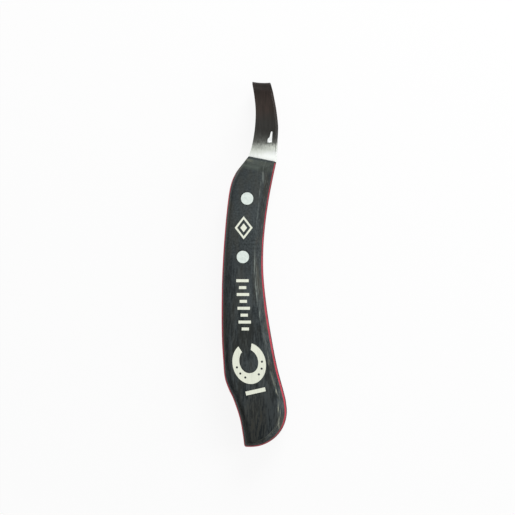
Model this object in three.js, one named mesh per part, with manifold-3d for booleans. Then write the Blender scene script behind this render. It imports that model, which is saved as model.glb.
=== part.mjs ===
// A farrier's loop hoof knife, lying on its side.
// One steel strip is bent into a closed loop, and its two ends are the tang. They lie in a slot of the
// handle's core, between two red veneers and two black laminated-wood scales, and two cutler's rivets
// clamp the layers together.
// Millimetres, +Z up. +Y runs from the butt to the tip of the loop, and Z is the handle's thickness.
// The plan is drawn from the middle of the handle's front edge, on the middle plane of the layers.

import * as THREE from "three";
import { mergeVertices } from "three/addons/utils/BufferGeometryUtils.js";
import Module from "manifold-3d";

const { degToRad, lerp, smoothstep } = THREE.MathUtils;

// ---------------------------------------------------------------- driving dimensions

// Loop of steel strip
const STRIP_THICKNESS = 1.5;
const LOOP_REACH = 42.3; // from the handle's front edge to the tip of the loop
const LOOP_DEPTH = 11.7; // from the outside of one leg to the outside of the other
const FLAT_RUN = 3.0; // the legs leave the handle side by side before they part
const SPLAY_ANGLE = degToRad(25);
const PARTING_RADIUS = 8; // bend that parts the legs
const CLOSING_RADIUS = 24; // bend that makes them parallel again
const TIP_SLANT = -0.05; // fall of the loop's tip per mm across the strip
const BEVEL_WIDTH = 1.8; // ground cutting edges, on the inside of the loop
const EDGE_THICKNESS = 0.5; // steel left at a cutting edge
const BEVEL_START = 14; // from the handle's front edge to where the grinding begins
const BEVEL_RUN_IN = 4; // stretch over which it reaches its full depth

// Edges of the strip in plan: [share of the loop's reach, X]
const STRIP_LEFT = [
  [-0.05, -8.9], [0.05, -7.4], [0.15, -5.9], [0.3, -4.2], [0.45, -3.2], [0.65, -2.95], [0.87, -4.0],
  [1, -5.45],
];
const STRIP_RIGHT = [
  [-0.05, 7.3], [0.15, 7.45], [0.3, 7.75], [0.45, 7.9], [0.65, 7.0], [0.87, 5.3], [0.93, 4.65], [1, 4.1],
];

// Tang
const TANG_GAP = 0.4; // between the two ends of the strip
const TANG_WIDTH = 10.4;
const TANG_PAST_RIVET = 11; // from the rear rivet to the end of the tang
const TANG_END_RADIUS = 3;
const TANG_LAP = 1.5; // stretch over which the tang runs on into the flat of the strip
const STRIP_SHOULDER_GAP = 0.3; // between the strip's shoulders and the handle's front edge

// Handle layers
const LINER_THICKNESS = 1.8;
const SCALE_THICKNESS = 5.4;
const WALL_LEAN = degToRad(20); // the walls lean in above and below the core
const FRONT_LEAN = degToRad(35); // the front wall is upright up to the scales, and then leans in further
const LEAN_RUN_IN = 12; // stretch of the left edge over which the wall changes from the one to the other
const ROUND_RADIUS = 1.8; // between a leaning wall and the flat face

// Plan of the handle
const HANDLE_LENGTH = 156.9; // from the middle of the front edge to the underside of the butt
const FRONT_SLANT = -0.203; // fall of the front edge per mm across the handle
const BUTT_RADIUS = 19.5; // round from the butt's underside to the right edge
const BUTT_CENTRE_X = -6.2;
const BUTT_ARC_END = degToRad(8);
const HEEL_RADIUS = 1.8; // left corner of the butt
const FRONT_CORNER_RADIUS = 0.6;
const LEAST_CORNER_RADIUS = 0.3;
const CORNER_REACH = 10; // stretch beside a corner over which the inset layers adapt to it

// Edges of the handle in plan: [share of the handle's length, X]
const HANDLE_LEFT = [
  [-0.01, -7.4], [0.015, -10.8], [0.045, -14.35], [0.08, -16.85], [0.13, -18.45], [0.25, -20.4],
  [0.38, -21.7], [0.5, -22.2], [0.62, -22.05], [0.7, -21.3], [0.76, -20.4], [0.8, -18.25], [0.83, -15.95],
  [0.9, -12.2], [0.96, -10.5], [1, -9.65],
];
const HANDLE_RIGHT = [
  [0.01, 7.4], [0.06, 5.65], [0.13, 3.5], [0.22, 1.4], [0.31, 0.15], [0.4, 0.15], [0.5, 1.7],
  [0.6, 4.1], [0.72, 7.85], [0.83, 12.45],
];

// Cutler's rivets
const RIVET_HEAD_RADIUS = 3.55;
const RIVET_HEAD_THICKNESS = 1.6;
const RIVET_BARREL_RADIUS = 2.5;
const RIVET_PIN_RADIUS = 1.6;
const FRONT_RIVET_SETBACK = 21.3; // behind the middle of the handle's front edge
const REAR_RIVET_SETBACK = 53.1;
const FRONT_RIVET_SHIFT = 0.25; // to the right of the middle of the handle
const REAR_RIVET_SHIFT = 0.9;

// Clearances
const TANG_CLEARANCE = 0.1; // between the tang and its slot, on every side
const HOLE_CLEARANCE = 0.1; // round and under a rivet
const PIN_CLEARANCE = 0.05; // between a rivet's pin and the bore of its barrel
const RIVET_END_GAP = 0.3; // ahead of a rivet's barrel and ahead of its pin

// Fineness of the facets
const EDGE_SAMPLES = 48;
const BUTT_SAMPLES = 16;
const CORNER_SAMPLES = 4;
const ROUND_SAMPLES = 5;
const ROUND_SIDES = 32;
const FLAT_STEP = 2.5; // longest facet of a straight stretch of the loop
const BEND_STEP = degToRad(12); // widest facet of its tip
const GENTLE_BEND_STEP = degToRad(5); // widest facet of its gentler bends
const MERGE_DISTANCE = 1e-4;
const CROSSING_STEPS = 12; // each step finds a crossing about four times as closely

// ---------------------------------------------------------------- derived sizes

const CORE_THICKNESS = 2 * STRIP_THICKNESS + TANG_GAP + 2 * TANG_CLEARANCE;
const CORE_TOP = CORE_THICKNESS / 2;
const LINER_TOP = CORE_TOP + LINER_THICKNESS;
const FACE = LINER_TOP + SCALE_THICKNESS; // height of the flat faces above the middle plane
const TANG_LEG_HEIGHT = (TANG_GAP + STRIP_THICKNESS) / 2;
const BUTT_CENTRE_Y = BUTT_RADIUS - HANDLE_LENGTH;

// ---------------------------------------------------------------- plan curves

// Evenly spaced values from one number to another, both included.
function spread(from, to, steps) {
  return Array.from({ length: steps + 1 }, (_, i) => lerp(from, to, i / steps));
}

// A smooth edge through stations [share of a length, X]: X as a function of Y.
class EdgeCurve {
  constructor(stations, length) {
    this.points = stations.map(([share, x]) => ({ y: share * length, x })).sort((a, b) => a.y - b.y);
  }

  slopeAt(index) {
    const before = this.points[Math.max(index - 1, 0)];
    const after = this.points[Math.min(index + 1, this.points.length - 1)];
    return (after.x - before.x) / (after.y - before.y);
  }

  xAt(y) {
    const last = this.points.length - 1;
    if (y <= this.points[0].y) return this.points[0].x + this.slopeAt(0) * (y - this.points[0].y);
    if (y >= this.points[last].y) return this.points[last].x + this.slopeAt(last) * (y - this.points[last].y);
    const next = this.points.findIndex((point) => point.y > y);
    const [a, b] = [this.points[next - 1], this.points[next]];
    const span = b.y - a.y;
    const t = (y - a.y) / span;
    const bulge = t * (1 - t) * span;
    return (
      a.x * (1 + 2 * t) * (1 - t) ** 2 +
      b.x * (3 - 2 * t) * t ** 2 +
      bulge * (1 - t) * this.slopeAt(next - 1) -
      bulge * t * this.slopeAt(next)
    );
  }
}

// The point where an edge crosses the line that passes Y at X = 0 and falls by slant per mm across.
function crossing(xAt, y, slant) {
  let x = 0;
  for (let step = 0; step < CROSSING_STEPS; step++) x = xAt(y + slant * x);
  return new THREE.Vector2(x, y + slant * x);
}

const buttArcTop = new THREE.Vector2(
  BUTT_CENTRE_X + BUTT_RADIUS * Math.cos(BUTT_ARC_END),
  BUTT_CENTRE_Y + BUTT_RADIUS * Math.sin(BUTT_ARC_END),
);
const leftEdge = new EdgeCurve(HANDLE_LEFT, -HANDLE_LENGTH);
const rightEdge = new EdgeCurve(
  [...HANDLE_RIGHT, [-buttArcTop.y / HANDLE_LENGTH, buttArcTop.x]],
  -HANDLE_LENGTH,
);
const stripLeft = new EdgeCurve(STRIP_LEFT, LOOP_REACH);
const stripRight = new EdgeCurve(STRIP_RIGHT, LOOP_REACH);

// X of the middle of the handle.
function handleMiddle(y) {
  return (leftEdge.xAt(y) + rightEdge.xAt(y)) / 2;
}

// ---------------------------------------------------------------- solids

const wasm = await Module();
wasm.setup();

// A closed geometry as a solid that can be joined and cut.
function solidFrom(geometry) {
  const bare = geometry.clone();
  bare.deleteAttribute("normal");
  bare.deleteAttribute("uv");
  const merged = mergeVertices(bare, MERGE_DISTANCE);
  return new wasm.Manifold(
    new wasm.Mesh({
      numProp: 3,
      vertProperties: merged.attributes.position.array,
      triVerts: new Uint32Array(merged.index.array),
    }),
  );
}

// What is left of a solid after cutters are taken from it, as a geometry.
function cutGeometry(solid, cutters) {
  const mesh = cutters.reduce((rest, cutter) => rest.subtract(solidFrom(cutter)), solid).getMesh();
  const geometry = new THREE.BufferGeometry();
  geometry.setAttribute("position", new THREE.BufferAttribute(mesh.vertProperties, 3));
  geometry.setIndex(new THREE.BufferAttribute(mesh.triVerts, 1));
  geometry.computeVertexNormals();
  return geometry;
}

// A closed geometry from rings of equally many points, each joined to the next. caps triangulates a ring.
function loft(rings, caps) {
  const count = rings[0].length;
  const positions = rings.flat().flatMap((point) => point.toArray());
  const indices = [];
  for (let ring = 0; ring < rings.length - 1; ring++) {
    for (let i = 0; i < count; i++) {
      const a = ring * count + i;
      const b = ring * count + ((i + 1) % count);
      indices.push(a, b, b + count, a, b + count, a + count);
    }
  }
  const end = (rings.length - 1) * count;
  for (const [a, b, c] of caps) {
    indices.push(c, b, a, end + a, end + b, end + c);
  }
  const geometry = new THREE.BufferGeometry();
  geometry.setAttribute("position", new THREE.Float32BufferAttribute(positions, 3));
  geometry.setIndex(indices);
  return geometry;
}

// A round cutter that stands upright between two heights.
function uprightCylinder(radius, bottom, top, centre) {
  const geometry = new THREE.CylinderGeometry(radius, radius, top - bottom, ROUND_SIDES);
  geometry.rotateX(Math.PI / 2);
  geometry.translate(centre.x, centre.y, (bottom + top) / 2);
  return geometry;
}

// A flat plate of a plan outline, between two heights.
function plate(outline, bottom, top) {
  const geometry = new THREE.ExtrudeGeometry(new THREE.Shape(outline), {
    depth: top - bottom,
    bevelEnabled: false,
  });
  geometry.translate(0, 0, bottom);
  return geometry;
}

// ---------------------------------------------------------------- handle layers

// The outline on the middle plane, counter-clockwise from the front left corner. Each point has its ways
// in, and each corner has its radius.
function handleOutline() {
  const frontLeft = crossing((y) => leftEdge.xAt(y), 0, FRONT_SLANT);
  const frontRight = crossing((y) => rightEdge.xAt(y), 0, FRONT_SLANT);
  const left = spread(frontLeft.y, -HANDLE_LENGTH, EDGE_SAMPLES).map(
    (y) => new THREE.Vector2(leftEdge.xAt(y), y),
  );
  const butt = spread(-Math.PI / 2, BUTT_ARC_END, BUTT_SAMPLES).map(
    (angle) =>
      new THREE.Vector2(
        BUTT_CENTRE_X + BUTT_RADIUS * Math.cos(angle),
        BUTT_CENTRE_Y + BUTT_RADIUS * Math.sin(angle),
      ),
  );
  const right = spread(buttArcTop.y, frontRight.y, EDGE_SAMPLES)
    .slice(1)
    .map((y) => new THREE.Vector2(rightEdge.xAt(y), y));
  const points = [...left, ...butt, ...right];
  const corners = new Map([
    [0, FRONT_CORNER_RADIUS],
    [left.length - 1, HEEL_RADIUS],
    [points.length - 1, FRONT_CORNER_RADIUS],
  ]);
  return { points, corners, waysIn: waysIn(points, [...corners.keys()]) };
}

// How far the outline turns at a point, and the directions in which it arrives and leaves.
function turnAt(points, index) {
  const count = points.length;
  const arriving = points[index].clone().sub(points[(index + count - 1) % count]).normalize();
  const leaving = points[(index + 1) % count].clone().sub(points[index]).normalize();
  return { arriving, leaving, turn: Math.atan2(arriving.cross(leaving), arriving.dot(leaving)) };
}

// How each point moves when the walls beside it are drawn in by 1 mm, and when the front wall is: square to
// the outline, with a slide along it beside each corner, so that the walls on both sides of a corner meet.
// lean says how far its wall already leans at the liners.
function waysIn(points, corners) {
  const along = [0];
  for (let i = 1; i < points.length; i++) along.push(along[i - 1] + points[i].distanceTo(points[i - 1]));
  const last = points.length - 1;
  return points.map((_, i) => {
    const { arriving, leaving } = turnAt(points, i);
    const tangent = arriving.clone().add(leaving).normalize();
    if (corners.includes(i)) tangent.copy(i === 0 ? leaving : arriving);
    const wall = new THREE.Vector2(-tangent.y, tangent.x);
    const front = new THREE.Vector2();
    for (const corner of corners) {
      const { turn } = turnAt(points, corner);
      const side = i > corner || (i === corner && i === 0) ? 1 : -1;
      const slide = side * Math.max(0, 1 - Math.abs(along[i] - along[corner]) / CORNER_REACH);
      const beside = corner === 0 || corner === last;
      wall.addScaledVector(tangent, slide * (beside ? -1 / Math.tan(turn) : Math.tan(turn / 2)));
      if (beside) front.addScaledVector(tangent, slide / Math.sin(turn));
    }
    return { wall, front, lean: smoothstep(along[i], 0, LEAN_RUN_IN) };
  });
}

// A corner of a ring as the points of its round, no larger than its two sides allow.
function roundedCorner(ring, index, radius) {
  const count = ring.length;
  const { arriving, leaving, turn } = turnAt(ring, index);
  const shortest = Math.min(
    ring[index].distanceTo(ring[(index + count - 1) % count]),
    ring[index].distanceTo(ring[(index + 1) % count]),
  );
  const setback = Math.min(radius * Math.tan(turn / 2), 0.9 * shortest);
  const start = ring[index].clone().addScaledVector(arriving, -setback);
  const inward = new THREE.Vector2(-arriving.y, arriving.x);
  const reach = setback / Math.tan(turn / 2);
  const centre = start.clone().addScaledVector(inward, reach);
  const first = Math.atan2(-inward.y, -inward.x);
  return spread(first, first + turn, CORNER_SAMPLES).map(
    (angle) => new THREE.Vector2(centre.x + reach * Math.cos(angle), centre.y + reach * Math.sin(angle)),
  );
}

// The handle's outline at a height above the middle plane.
function outlineAt({ points, corners, waysIn }, height) {
  const upright = insetAt(height, LINER_TOP, WALL_LEAN);
  const leaning = insetAt(height, CORE_TOP, WALL_LEAN);
  const front = insetAt(height, LINER_TOP, FRONT_LEAN);
  const ring = points.map((point, i) =>
    point
      .clone()
      .addScaledVector(waysIn[i].wall, lerp(upright, leaning, waysIn[i].lean))
      .addScaledVector(waysIn[i].front, front),
  );
  return ring.flatMap((point, i) =>
    corners.has(i)
      ? roundedCorner(ring, i, Math.max(corners.get(i) - leaning, LEAST_CORNER_RADIUS))
      : [point],
  );
}

// The height at which a leaning wall starts to round over into the flat face.
function roundBase(lean) {
  return FACE - ROUND_RADIUS * (1 - Math.sin(lean));
}

// How far a wall that leans in from a base has drawn in at a height, both above the middle plane.
function insetAt(height, base, lean) {
  const leaning = Math.max(Math.min(height, roundBase(lean)) - base, 0) * Math.tan(lean);
  if (height <= roundBase(lean)) return leaning;
  const sine = Math.sin(lean) + (height - roundBase(lean)) / ROUND_RADIUS;
  const cosine = Math.sqrt(Math.max(0, 1 - sine ** 2));
  return leaning + ROUND_RADIUS * (Math.cos(lean) - cosine);
}

// Heights at which the wall needs a ring between a layer's two faces.
function ringHeights(low, high) {
  const round = spread(WALL_LEAN, Math.PI / 2, ROUND_SAMPLES).map(
    (angle) => roundBase(WALL_LEAN) + ROUND_RADIUS * (Math.sin(angle) - Math.sin(WALL_LEAN)),
  );
  return [low, ...round.filter((h) => h > low + MERGE_DISTANCE && h < high - MERGE_DISTANCE), high];
}

const outline = handleOutline();

// One layer between two heights: side 1 lies above the middle plane, side -1 is its mirror image.
function handleLayer(low, high, side) {
  const heights = ringHeights(low, high);
  if (side < 0) heights.reverse();
  const rings = heights.map((height) =>
    outlineAt(outline, height).map((point) => new THREE.Vector3(point.x, point.y, side * height)),
  );
  return solidFrom(loft(rings, THREE.ShapeUtils.triangulateShape(rings[0], [])));
}

// ---------------------------------------------------------------- tang

// Plan of the tang, grown by a clearance, from its rounded end to a line ahead of the front edge.
function tangPlan(clearance, ahead) {
  const radius = TANG_END_RADIUS + clearance;
  const halfWidth = TANG_WIDTH / 2 + clearance;
  const end = -REAR_RIVET_SETBACK - TANG_PAST_RIVET - clearance;
  const round = spread(0, Math.PI / 2, ROUND_SAMPLES).map((angle) => ({
    y: end + radius * (1 - Math.cos(angle)),
    half: halfWidth - radius * (1 - Math.sin(angle)),
  }));
  const [frontRight, frontLeft] = [1, -1].map((side) =>
    crossing((y) => handleMiddle(y) + side * halfWidth, ahead, FRONT_SLANT),
  );
  const sides = spread(end + radius, Math.min(frontRight.y, frontLeft.y), EDGE_SAMPLES)
    .slice(1)
    .map((y) => ({ y, half: halfWidth }));
  const stations = [...round, ...sides];
  const left = stations.map(({ y, half }) => new THREE.Vector2(handleMiddle(y) - half, y));
  const right = stations.map(({ y, half }) => new THREE.Vector2(handleMiddle(y) + half, y));
  return [...right, frontLeft, ...left.reverse()];
}

// ---------------------------------------------------------------- loop

// A route of straights and bends in the plane of Y and height, walked from a start that heads along +Y.
class Route {
  constructor(start, stretches) {
    this.start = start;
    this.stretches = stretches;
  }

  // Where the route is after a distance along one of its stretches.
  walk(pose, { length, turn }, distance) {
    const heading = pose.heading + (turn * distance) / length;
    if (turn === 0) {
      return {
        y: pose.y + distance * Math.cos(heading),
        z: pose.z + distance * Math.sin(heading),
        heading,
      };
    }
    const radius = length / turn;
    return {
      y: pose.y + radius * (Math.sin(heading) - Math.sin(pose.heading)),
      z: pose.z - radius * (Math.cos(heading) - Math.cos(pose.heading)),
      heading,
    };
  }

  // The poses at which the route has a section.
  poses() {
    const poses = [this.start];
    let from = this.start;
    for (const stretch of this.stretches) {
      for (const distance of spread(0, stretch.length, stretch.steps).slice(1)) {
        poses.push(this.walk(from, stretch, distance));
      }
      from = poses.at(-1);
    }
    return poses;
  }
}

// The middle line of the strip, from one shoulder round the tip to the other.
function loopRoute() {
  const legHeight = (LOOP_DEPTH - STRIP_THICKNESS) / 2;
  const bendRise = (PARTING_RADIUS + CLOSING_RADIUS) * (1 - Math.cos(SPLAY_ANGLE));
  const splayLength = (legHeight - TANG_LEG_HEIGHT - bendRise) / Math.sin(SPLAY_ANGLE);
  const splayReach =
    FLAT_RUN +
    (PARTING_RADIUS + CLOSING_RADIUS) * Math.sin(SPLAY_ANGLE) +
    splayLength * Math.cos(SPLAY_ANGLE);
  const legLength = LOOP_REACH - STRIP_THICKNESS / 2 - legHeight - splayReach;
  const straight = (length) => ({ length, turn: 0, steps: Math.ceil(length / FLAT_STEP) });
  const bend = (radius, turn, step) => ({
    length: radius * Math.abs(turn),
    turn,
    steps: Math.ceil(Math.abs(turn) / step),
  });
  const out = [
    straight(FLAT_RUN - STRIP_SHOULDER_GAP),
    bend(PARTING_RADIUS, SPLAY_ANGLE, GENTLE_BEND_STEP),
    straight(splayLength),
    bend(CLOSING_RADIUS, -SPLAY_ANGLE, GENTLE_BEND_STEP),
    straight(legLength),
  ];
  const tip = bend(legHeight, -Math.PI, BEND_STEP);
  const start = { y: STRIP_SHOULDER_GAP, z: TANG_LEG_HEIGHT, heading: 0 };
  return new Route(start, [...out, tip, ...out.toReversed()]);
}

// The strip's section at a pose of the route: its outer face between its two ground edges.
function stripSection({ y, z, heading }) {
  const slant = lerp(FRONT_SLANT, TIP_SLANT, THREE.MathUtils.clamp(y / LOOP_REACH, 0, 1));
  const left = crossing((at) => stripLeft.xAt(at), y, slant).x;
  const right = crossing((at) => stripRight.xAt(at), y, slant).x;
  const ground = smoothstep(y, BEVEL_START, BEVEL_START + BEVEL_RUN_IN);
  const half = STRIP_THICKNESS / 2;
  const edge = half - ground * (STRIP_THICKNESS - EDGE_THICKNESS);
  const at = (x, out) =>
    new THREE.Vector3(x, y + slant * x - out * Math.sin(heading), z + out * Math.cos(heading));
  return [
    at(left + BEVEL_WIDTH, -half),
    at(left, -edge),
    at(left, half),
    at(right, half),
    at(right, -edge),
    at(right - BEVEL_WIDTH, -half),
  ];
}

function loopBlade(rivets) {
  const sectionCaps = [[0, 1, 2], [0, 2, 3], [0, 3, 4], [0, 4, 5]];
  const loop = solidFrom(loft(loopRoute().poses().map(stripSection), sectionCaps));
  const tang = tangPlan(0, TANG_LAP);
  const [lowerLeg, upperLeg] = [-TANG_LEG_HEIGHT, TANG_LEG_HEIGHT].map((middle) =>
    solidFrom(plate(tang, middle - STRIP_THICKNESS / 2, middle + STRIP_THICKNESS / 2)),
  );
  const holes = rivets.map((rivet) =>
    uprightCylinder(RIVET_BARREL_RADIUS + HOLE_CLEARANCE, -CORE_THICKNESS, CORE_THICKNESS, rivet.centre),
  );
  return cutGeometry(loop.add(lowerLeg).add(upperLeg), holes);
}

// ---------------------------------------------------------------- rivets

const barrelEnd = -FACE + RIVET_HEAD_THICKNESS + RIVET_END_GAP;
const boreEnd = FACE - RIVET_HEAD_THICKNESS;

function turned(profile, centre) {
  const geometry = new THREE.LatheGeometry(
    profile.map(([radius, height]) => new THREE.Vector2(radius, height)),
    ROUND_SIDES,
  );
  geometry.rotateX(Math.PI / 2);
  geometry.translate(centre.x, centre.y, 0);
  return geometry;
}

// The female half: a head flush with the upper face, and a barrel with a blind bore.
function rivetBarrel(centre) {
  const bore = RIVET_PIN_RADIUS + PIN_CLEARANCE;
  return turned(
    [
      [0, boreEnd],
      [bore, boreEnd],
      [bore, barrelEnd],
      [RIVET_BARREL_RADIUS, barrelEnd],
      [RIVET_BARREL_RADIUS, FACE - RIVET_HEAD_THICKNESS],
      [RIVET_HEAD_RADIUS, FACE - RIVET_HEAD_THICKNESS],
      [RIVET_HEAD_RADIUS, FACE],
      [0, FACE],
    ],
    centre,
  );
}

// The male half: a head flush with the lower face, and a pin that fills the bore.
function rivetPin(centre) {
  return turned(
    [
      [0, -FACE],
      [RIVET_HEAD_RADIUS, -FACE],
      [RIVET_HEAD_RADIUS, -FACE + RIVET_HEAD_THICKNESS],
      [RIVET_PIN_RADIUS, -FACE + RIVET_HEAD_THICKNESS],
      [RIVET_PIN_RADIUS, boreEnd - RIVET_END_GAP],
      [0, boreEnd - RIVET_END_GAP],
    ],
    centre,
  );
}

// ---------------------------------------------------------------- assembly

const material = (color, roughness, metalness) =>
  new THREE.MeshStandardMaterial({ color, roughness, metalness });

const materials = {
  steel: () => material(0x8b8a88, 0.38, 1),
  blackWood: () => material(0x303334, 0.55, 0),
  darkWood: () => material(0x262423, 0.6, 0),
  redVeneer: () => material(0xb02338, 0.5, 0),
  aluminium: () => material(0xd6dad8, 0.4, 1),
};

const knife = new THREE.Group();

function addPiece(name, geometry, finish) {
  const mesh = new THREE.Mesh(geometry, finish());
  mesh.name = name;
  knife.add(mesh);
}

const rivets = [
  { name: "front_rivet", setback: FRONT_RIVET_SETBACK, shift: FRONT_RIVET_SHIFT },
  { name: "rear_rivet", setback: REAR_RIVET_SETBACK, shift: REAR_RIVET_SHIFT },
].map(({ name, setback, shift }) => ({
  name,
  centre: new THREE.Vector2(handleMiddle(-setback) + shift, -setback),
}));

// Clearance holes through a layer between two heights.
function barrelHoles(low, high) {
  return rivets.map(({ centre }) =>
    uprightCylinder(RIVET_BARREL_RADIUS + HOLE_CLEARANCE, low - 1, high + 1, centre),
  );
}

// Counterbores that take the rivet heads in a flat face.
function headSeats(side) {
  const floor = FACE - RIVET_HEAD_THICKNESS - HOLE_CLEARANCE;
  const [low, high] = side > 0 ? [floor, FACE + 1] : [-FACE - 1, -floor];
  return rivets.map(({ centre }) =>
    uprightCylinder(RIVET_HEAD_RADIUS + HOLE_CLEARANCE, low, high, centre),
  );
}

addPiece("loop_blade", loopBlade(rivets), materials.steel);

const core = handleLayer(-CORE_TOP, CORE_TOP, 1);
const slot = plate(tangPlan(TANG_CLEARANCE, TANG_WIDTH), -CORE_THICKNESS, CORE_THICKNESS);
addPiece("handle_core", cutGeometry(core, [slot]), materials.darkWood);

for (const [prefix, side] of [["upper", 1], ["lower", -1]]) {
  const liner = handleLayer(CORE_TOP, LINER_TOP, side);
  addPiece(`${prefix}_liner`, cutGeometry(liner, barrelHoles(-LINER_TOP, LINER_TOP)), materials.redVeneer);
  const scale = handleLayer(LINER_TOP, FACE, side);
  const cutters = [...barrelHoles(-FACE, FACE), ...headSeats(side)];
  addPiece(`${prefix}_scale`, cutGeometry(scale, cutters), materials.blackWood);
}

for (const { name, centre } of rivets) {
  addPiece(`${name}_barrel`, rivetBarrel(centre), materials.aluminium);
  addPiece(`${name}_pin`, rivetPin(centre), materials.aluminium);
}

// The origin is under the middle of the knife, on the surface that its lower face rests on.
const box = new THREE.Box3().setFromObject(knife);
const middle = box.getCenter(new THREE.Vector3());
knife.position.set(-middle.x, -middle.y, FACE);

const root = new THREE.Group();
root.add(knife);

export default root;
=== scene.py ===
"""Looks of a farrier's loop hoof knife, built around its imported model.

The knife lies on its side. A steel strip is bent into a closed cutting loop, and its two ends run into a
handle of laminated wood: two black scales, two red veneers and a dark core, held by two cutler's rivets.
Sizes are written in millimetres, in the plan that is drawn from the middle of the handle's front edge,
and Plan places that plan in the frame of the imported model, in metres.
"""

import logging
import math
from collections.abc import Callable, Iterable, Sequence
from dataclasses import dataclass, field
from enum import Enum
from functools import cached_property, reduce

import bmesh
import bpy
from mathutils import Matrix, Vector
from mathutils.geometry import delaunay_2d_cdt


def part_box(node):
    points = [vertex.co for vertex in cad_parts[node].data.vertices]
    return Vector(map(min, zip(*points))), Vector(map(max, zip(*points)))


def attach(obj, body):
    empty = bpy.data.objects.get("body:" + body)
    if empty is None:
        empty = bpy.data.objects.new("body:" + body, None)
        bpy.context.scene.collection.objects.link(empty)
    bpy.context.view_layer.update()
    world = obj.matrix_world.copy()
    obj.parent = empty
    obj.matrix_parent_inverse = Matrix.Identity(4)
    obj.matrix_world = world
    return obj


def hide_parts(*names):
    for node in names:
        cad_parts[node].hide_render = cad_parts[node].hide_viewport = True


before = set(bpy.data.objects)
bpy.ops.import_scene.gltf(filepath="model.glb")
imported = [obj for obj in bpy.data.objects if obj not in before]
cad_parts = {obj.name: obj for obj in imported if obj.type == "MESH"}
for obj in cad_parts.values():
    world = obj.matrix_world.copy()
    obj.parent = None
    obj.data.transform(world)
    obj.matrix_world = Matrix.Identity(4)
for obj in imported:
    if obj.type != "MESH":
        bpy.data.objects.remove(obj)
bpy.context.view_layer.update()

MM = 0.001
TINY = 1e-7
BODY = "root"

# Pairs are two numbers that a finish uses together: a span is the values at a ramp's two ends, a level or
# swing is a factor and what is added to the product, and a relief is its strength and its height in mm.
Point2 = tuple[float, float]
Point3 = tuple[float, float, float]
Points = tuple[Point2, ...]
Ring = list[Point2]
Pair = tuple[float, float]
Stops = tuple[Pair, ...]
Colour = tuple[float, float, float]
Material = bpy.types.Material
Object = bpy.types.Object
Socket = bpy.types.NodeSocket
Value = float | Socket

# The handle, as its finishes and its shape share it. PLAN_ORIGIN is where the plan lies in the packed
# model, and FRONT_LINE is where its front edge passes X = 0 there. The edges are pairs of a share of the
# length and X in the plan, all within EDGES_SPAN of EDGES_FROM.
HANDLE_LENGTH = 156.9
HALF_HEIGHT = 9.0
FRONT_SLANT = -0.203
FRONT_LINE = 58.08
PLAN_ORIGIN: Point2 = (4.469, 57.176)
LEFT_EDGE: Points = (
    (-0.01, -7.4), (0.015, -10.8), (0.045, -14.35), (0.08, -16.85), (0.13, -18.45), (0.25, -20.42),
    (0.38, -21.76), (0.5, -22.24), (0.62, -22.1), (0.7, -21.36), (0.76, -20.46), (0.8, -18.3),
    (0.83, -16.0), (0.9, -12.25), (0.96, -10.5), (1.0, -9.65),
)
RIGHT_EDGE: Points = (
    (0.01, 7.4), (0.06, 5.7), (0.13, 3.55), (0.22, 1.5), (0.31, 0.35), (0.4, 0.4), (0.5, 1.95),
    (0.6, 4.3), (0.72, 7.9), (0.83, 12.45),
)
EDGES_FROM = -24.0
EDGES_SPAN = 40.0

log = logging.getLogger("hoof_knife")


# ------------------------------------------------------------------ plan curves


def spread(first: float, last: float, steps: int) -> list[float]:
    """Evenly spaced values from one number to another.

    Args:
        first: The first value.
        last: The last value.
        steps: How many steps lie between them.

    Returns:
        The steps + 1 values, with both ends.
    """
    return [first + (last - first) * i / steps for i in range(steps + 1)]


def smooth(value: float, low: float, high: float) -> float:
    """A smooth rise from 0 at low to 1 at high.

    Args:
        value: Where the rise is read.
        low: Where it starts.
        high: Where it ends.

    Returns:
        The share of the rise.
    """
    t = min(max((value - low) / (high - low), 0.0), 1.0)
    return t * t * (3 - 2 * t)


class EdgeCurve:
    """A smooth edge in plan: X as a function of Y, through stations."""

    def __init__(self, stations: Sequence[Point2], length: float) -> None:
        """Places the stations.

        Args:
            stations: Pairs of a share of the length and X in mm.
            length: The length that the shares are of, in mm, with its sign.
        """
        self.points = sorted((share * length, x) for share, x in stations)

    def _slope(self, index: int) -> float:
        """The curve's slope at a station, from its neighbours.

        Args:
            index: The station's number.

        Returns:
            The slope, in mm across for each mm along.
        """
        before = self.points[max(index - 1, 0)]
        after = self.points[min(index + 1, len(self.points) - 1)]
        return (after[1] - before[1]) / (after[0] - before[0])

    def x_at(self, y: float) -> float:
        """X of the edge at a distance.

        Args:
            y: The distance in mm.

        Returns:
            X in mm, running on straight past either end.
        """
        last = len(self.points) - 1
        for end in (0, last):
            if (end == 0 and y <= self.points[0][0]) or (end == last and y >= self.points[last][0]):
                return self.points[end][1] + self._slope(end) * (y - self.points[end][0])
        after = next(i for i, point in enumerate(self.points) if point[0] > y)
        (y0, x0), (y1, x1) = self.points[after - 1], self.points[after]
        t = (y - y0) / (y1 - y0)
        bulge = t * (1 - t) * (y1 - y0)
        return (
            x0 * (1 + 2 * t) * (1 - t) ** 2
            + x1 * (3 - 2 * t) * t**2
            + bulge * (1 - t) * self._slope(after - 1)
            - bulge * t * self._slope(after)
        )


def crossing(x_at: Callable[[float], float], y: float, slant: float, rounds: int = 12) -> Point2:
    """The point where an edge crosses a slanting line.

    Args:
        x_at: X of the edge at a distance.
        y: Where the line passes X = 0.
        slant: How far the line rises per mm across.
        rounds: How often the point is worked out again from the last one.

    Returns:
        The point, in mm.
    """
    x = 0.0
    for _ in range(rounds):
        x = x_at(y + slant * x)
    return x, y + slant * x


# ------------------------------------------------------------------ meshes


def add_object(name: str, data: bpy.types.ID) -> Object:
    """Adds an object to the scene.

    Args:
        name: Its name.
        data: Its mesh, light or camera.

    Returns:
        The object.
    """
    obj = bpy.data.objects.new(name, data)
    bpy.context.scene.collection.objects.link(obj)
    return obj


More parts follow.
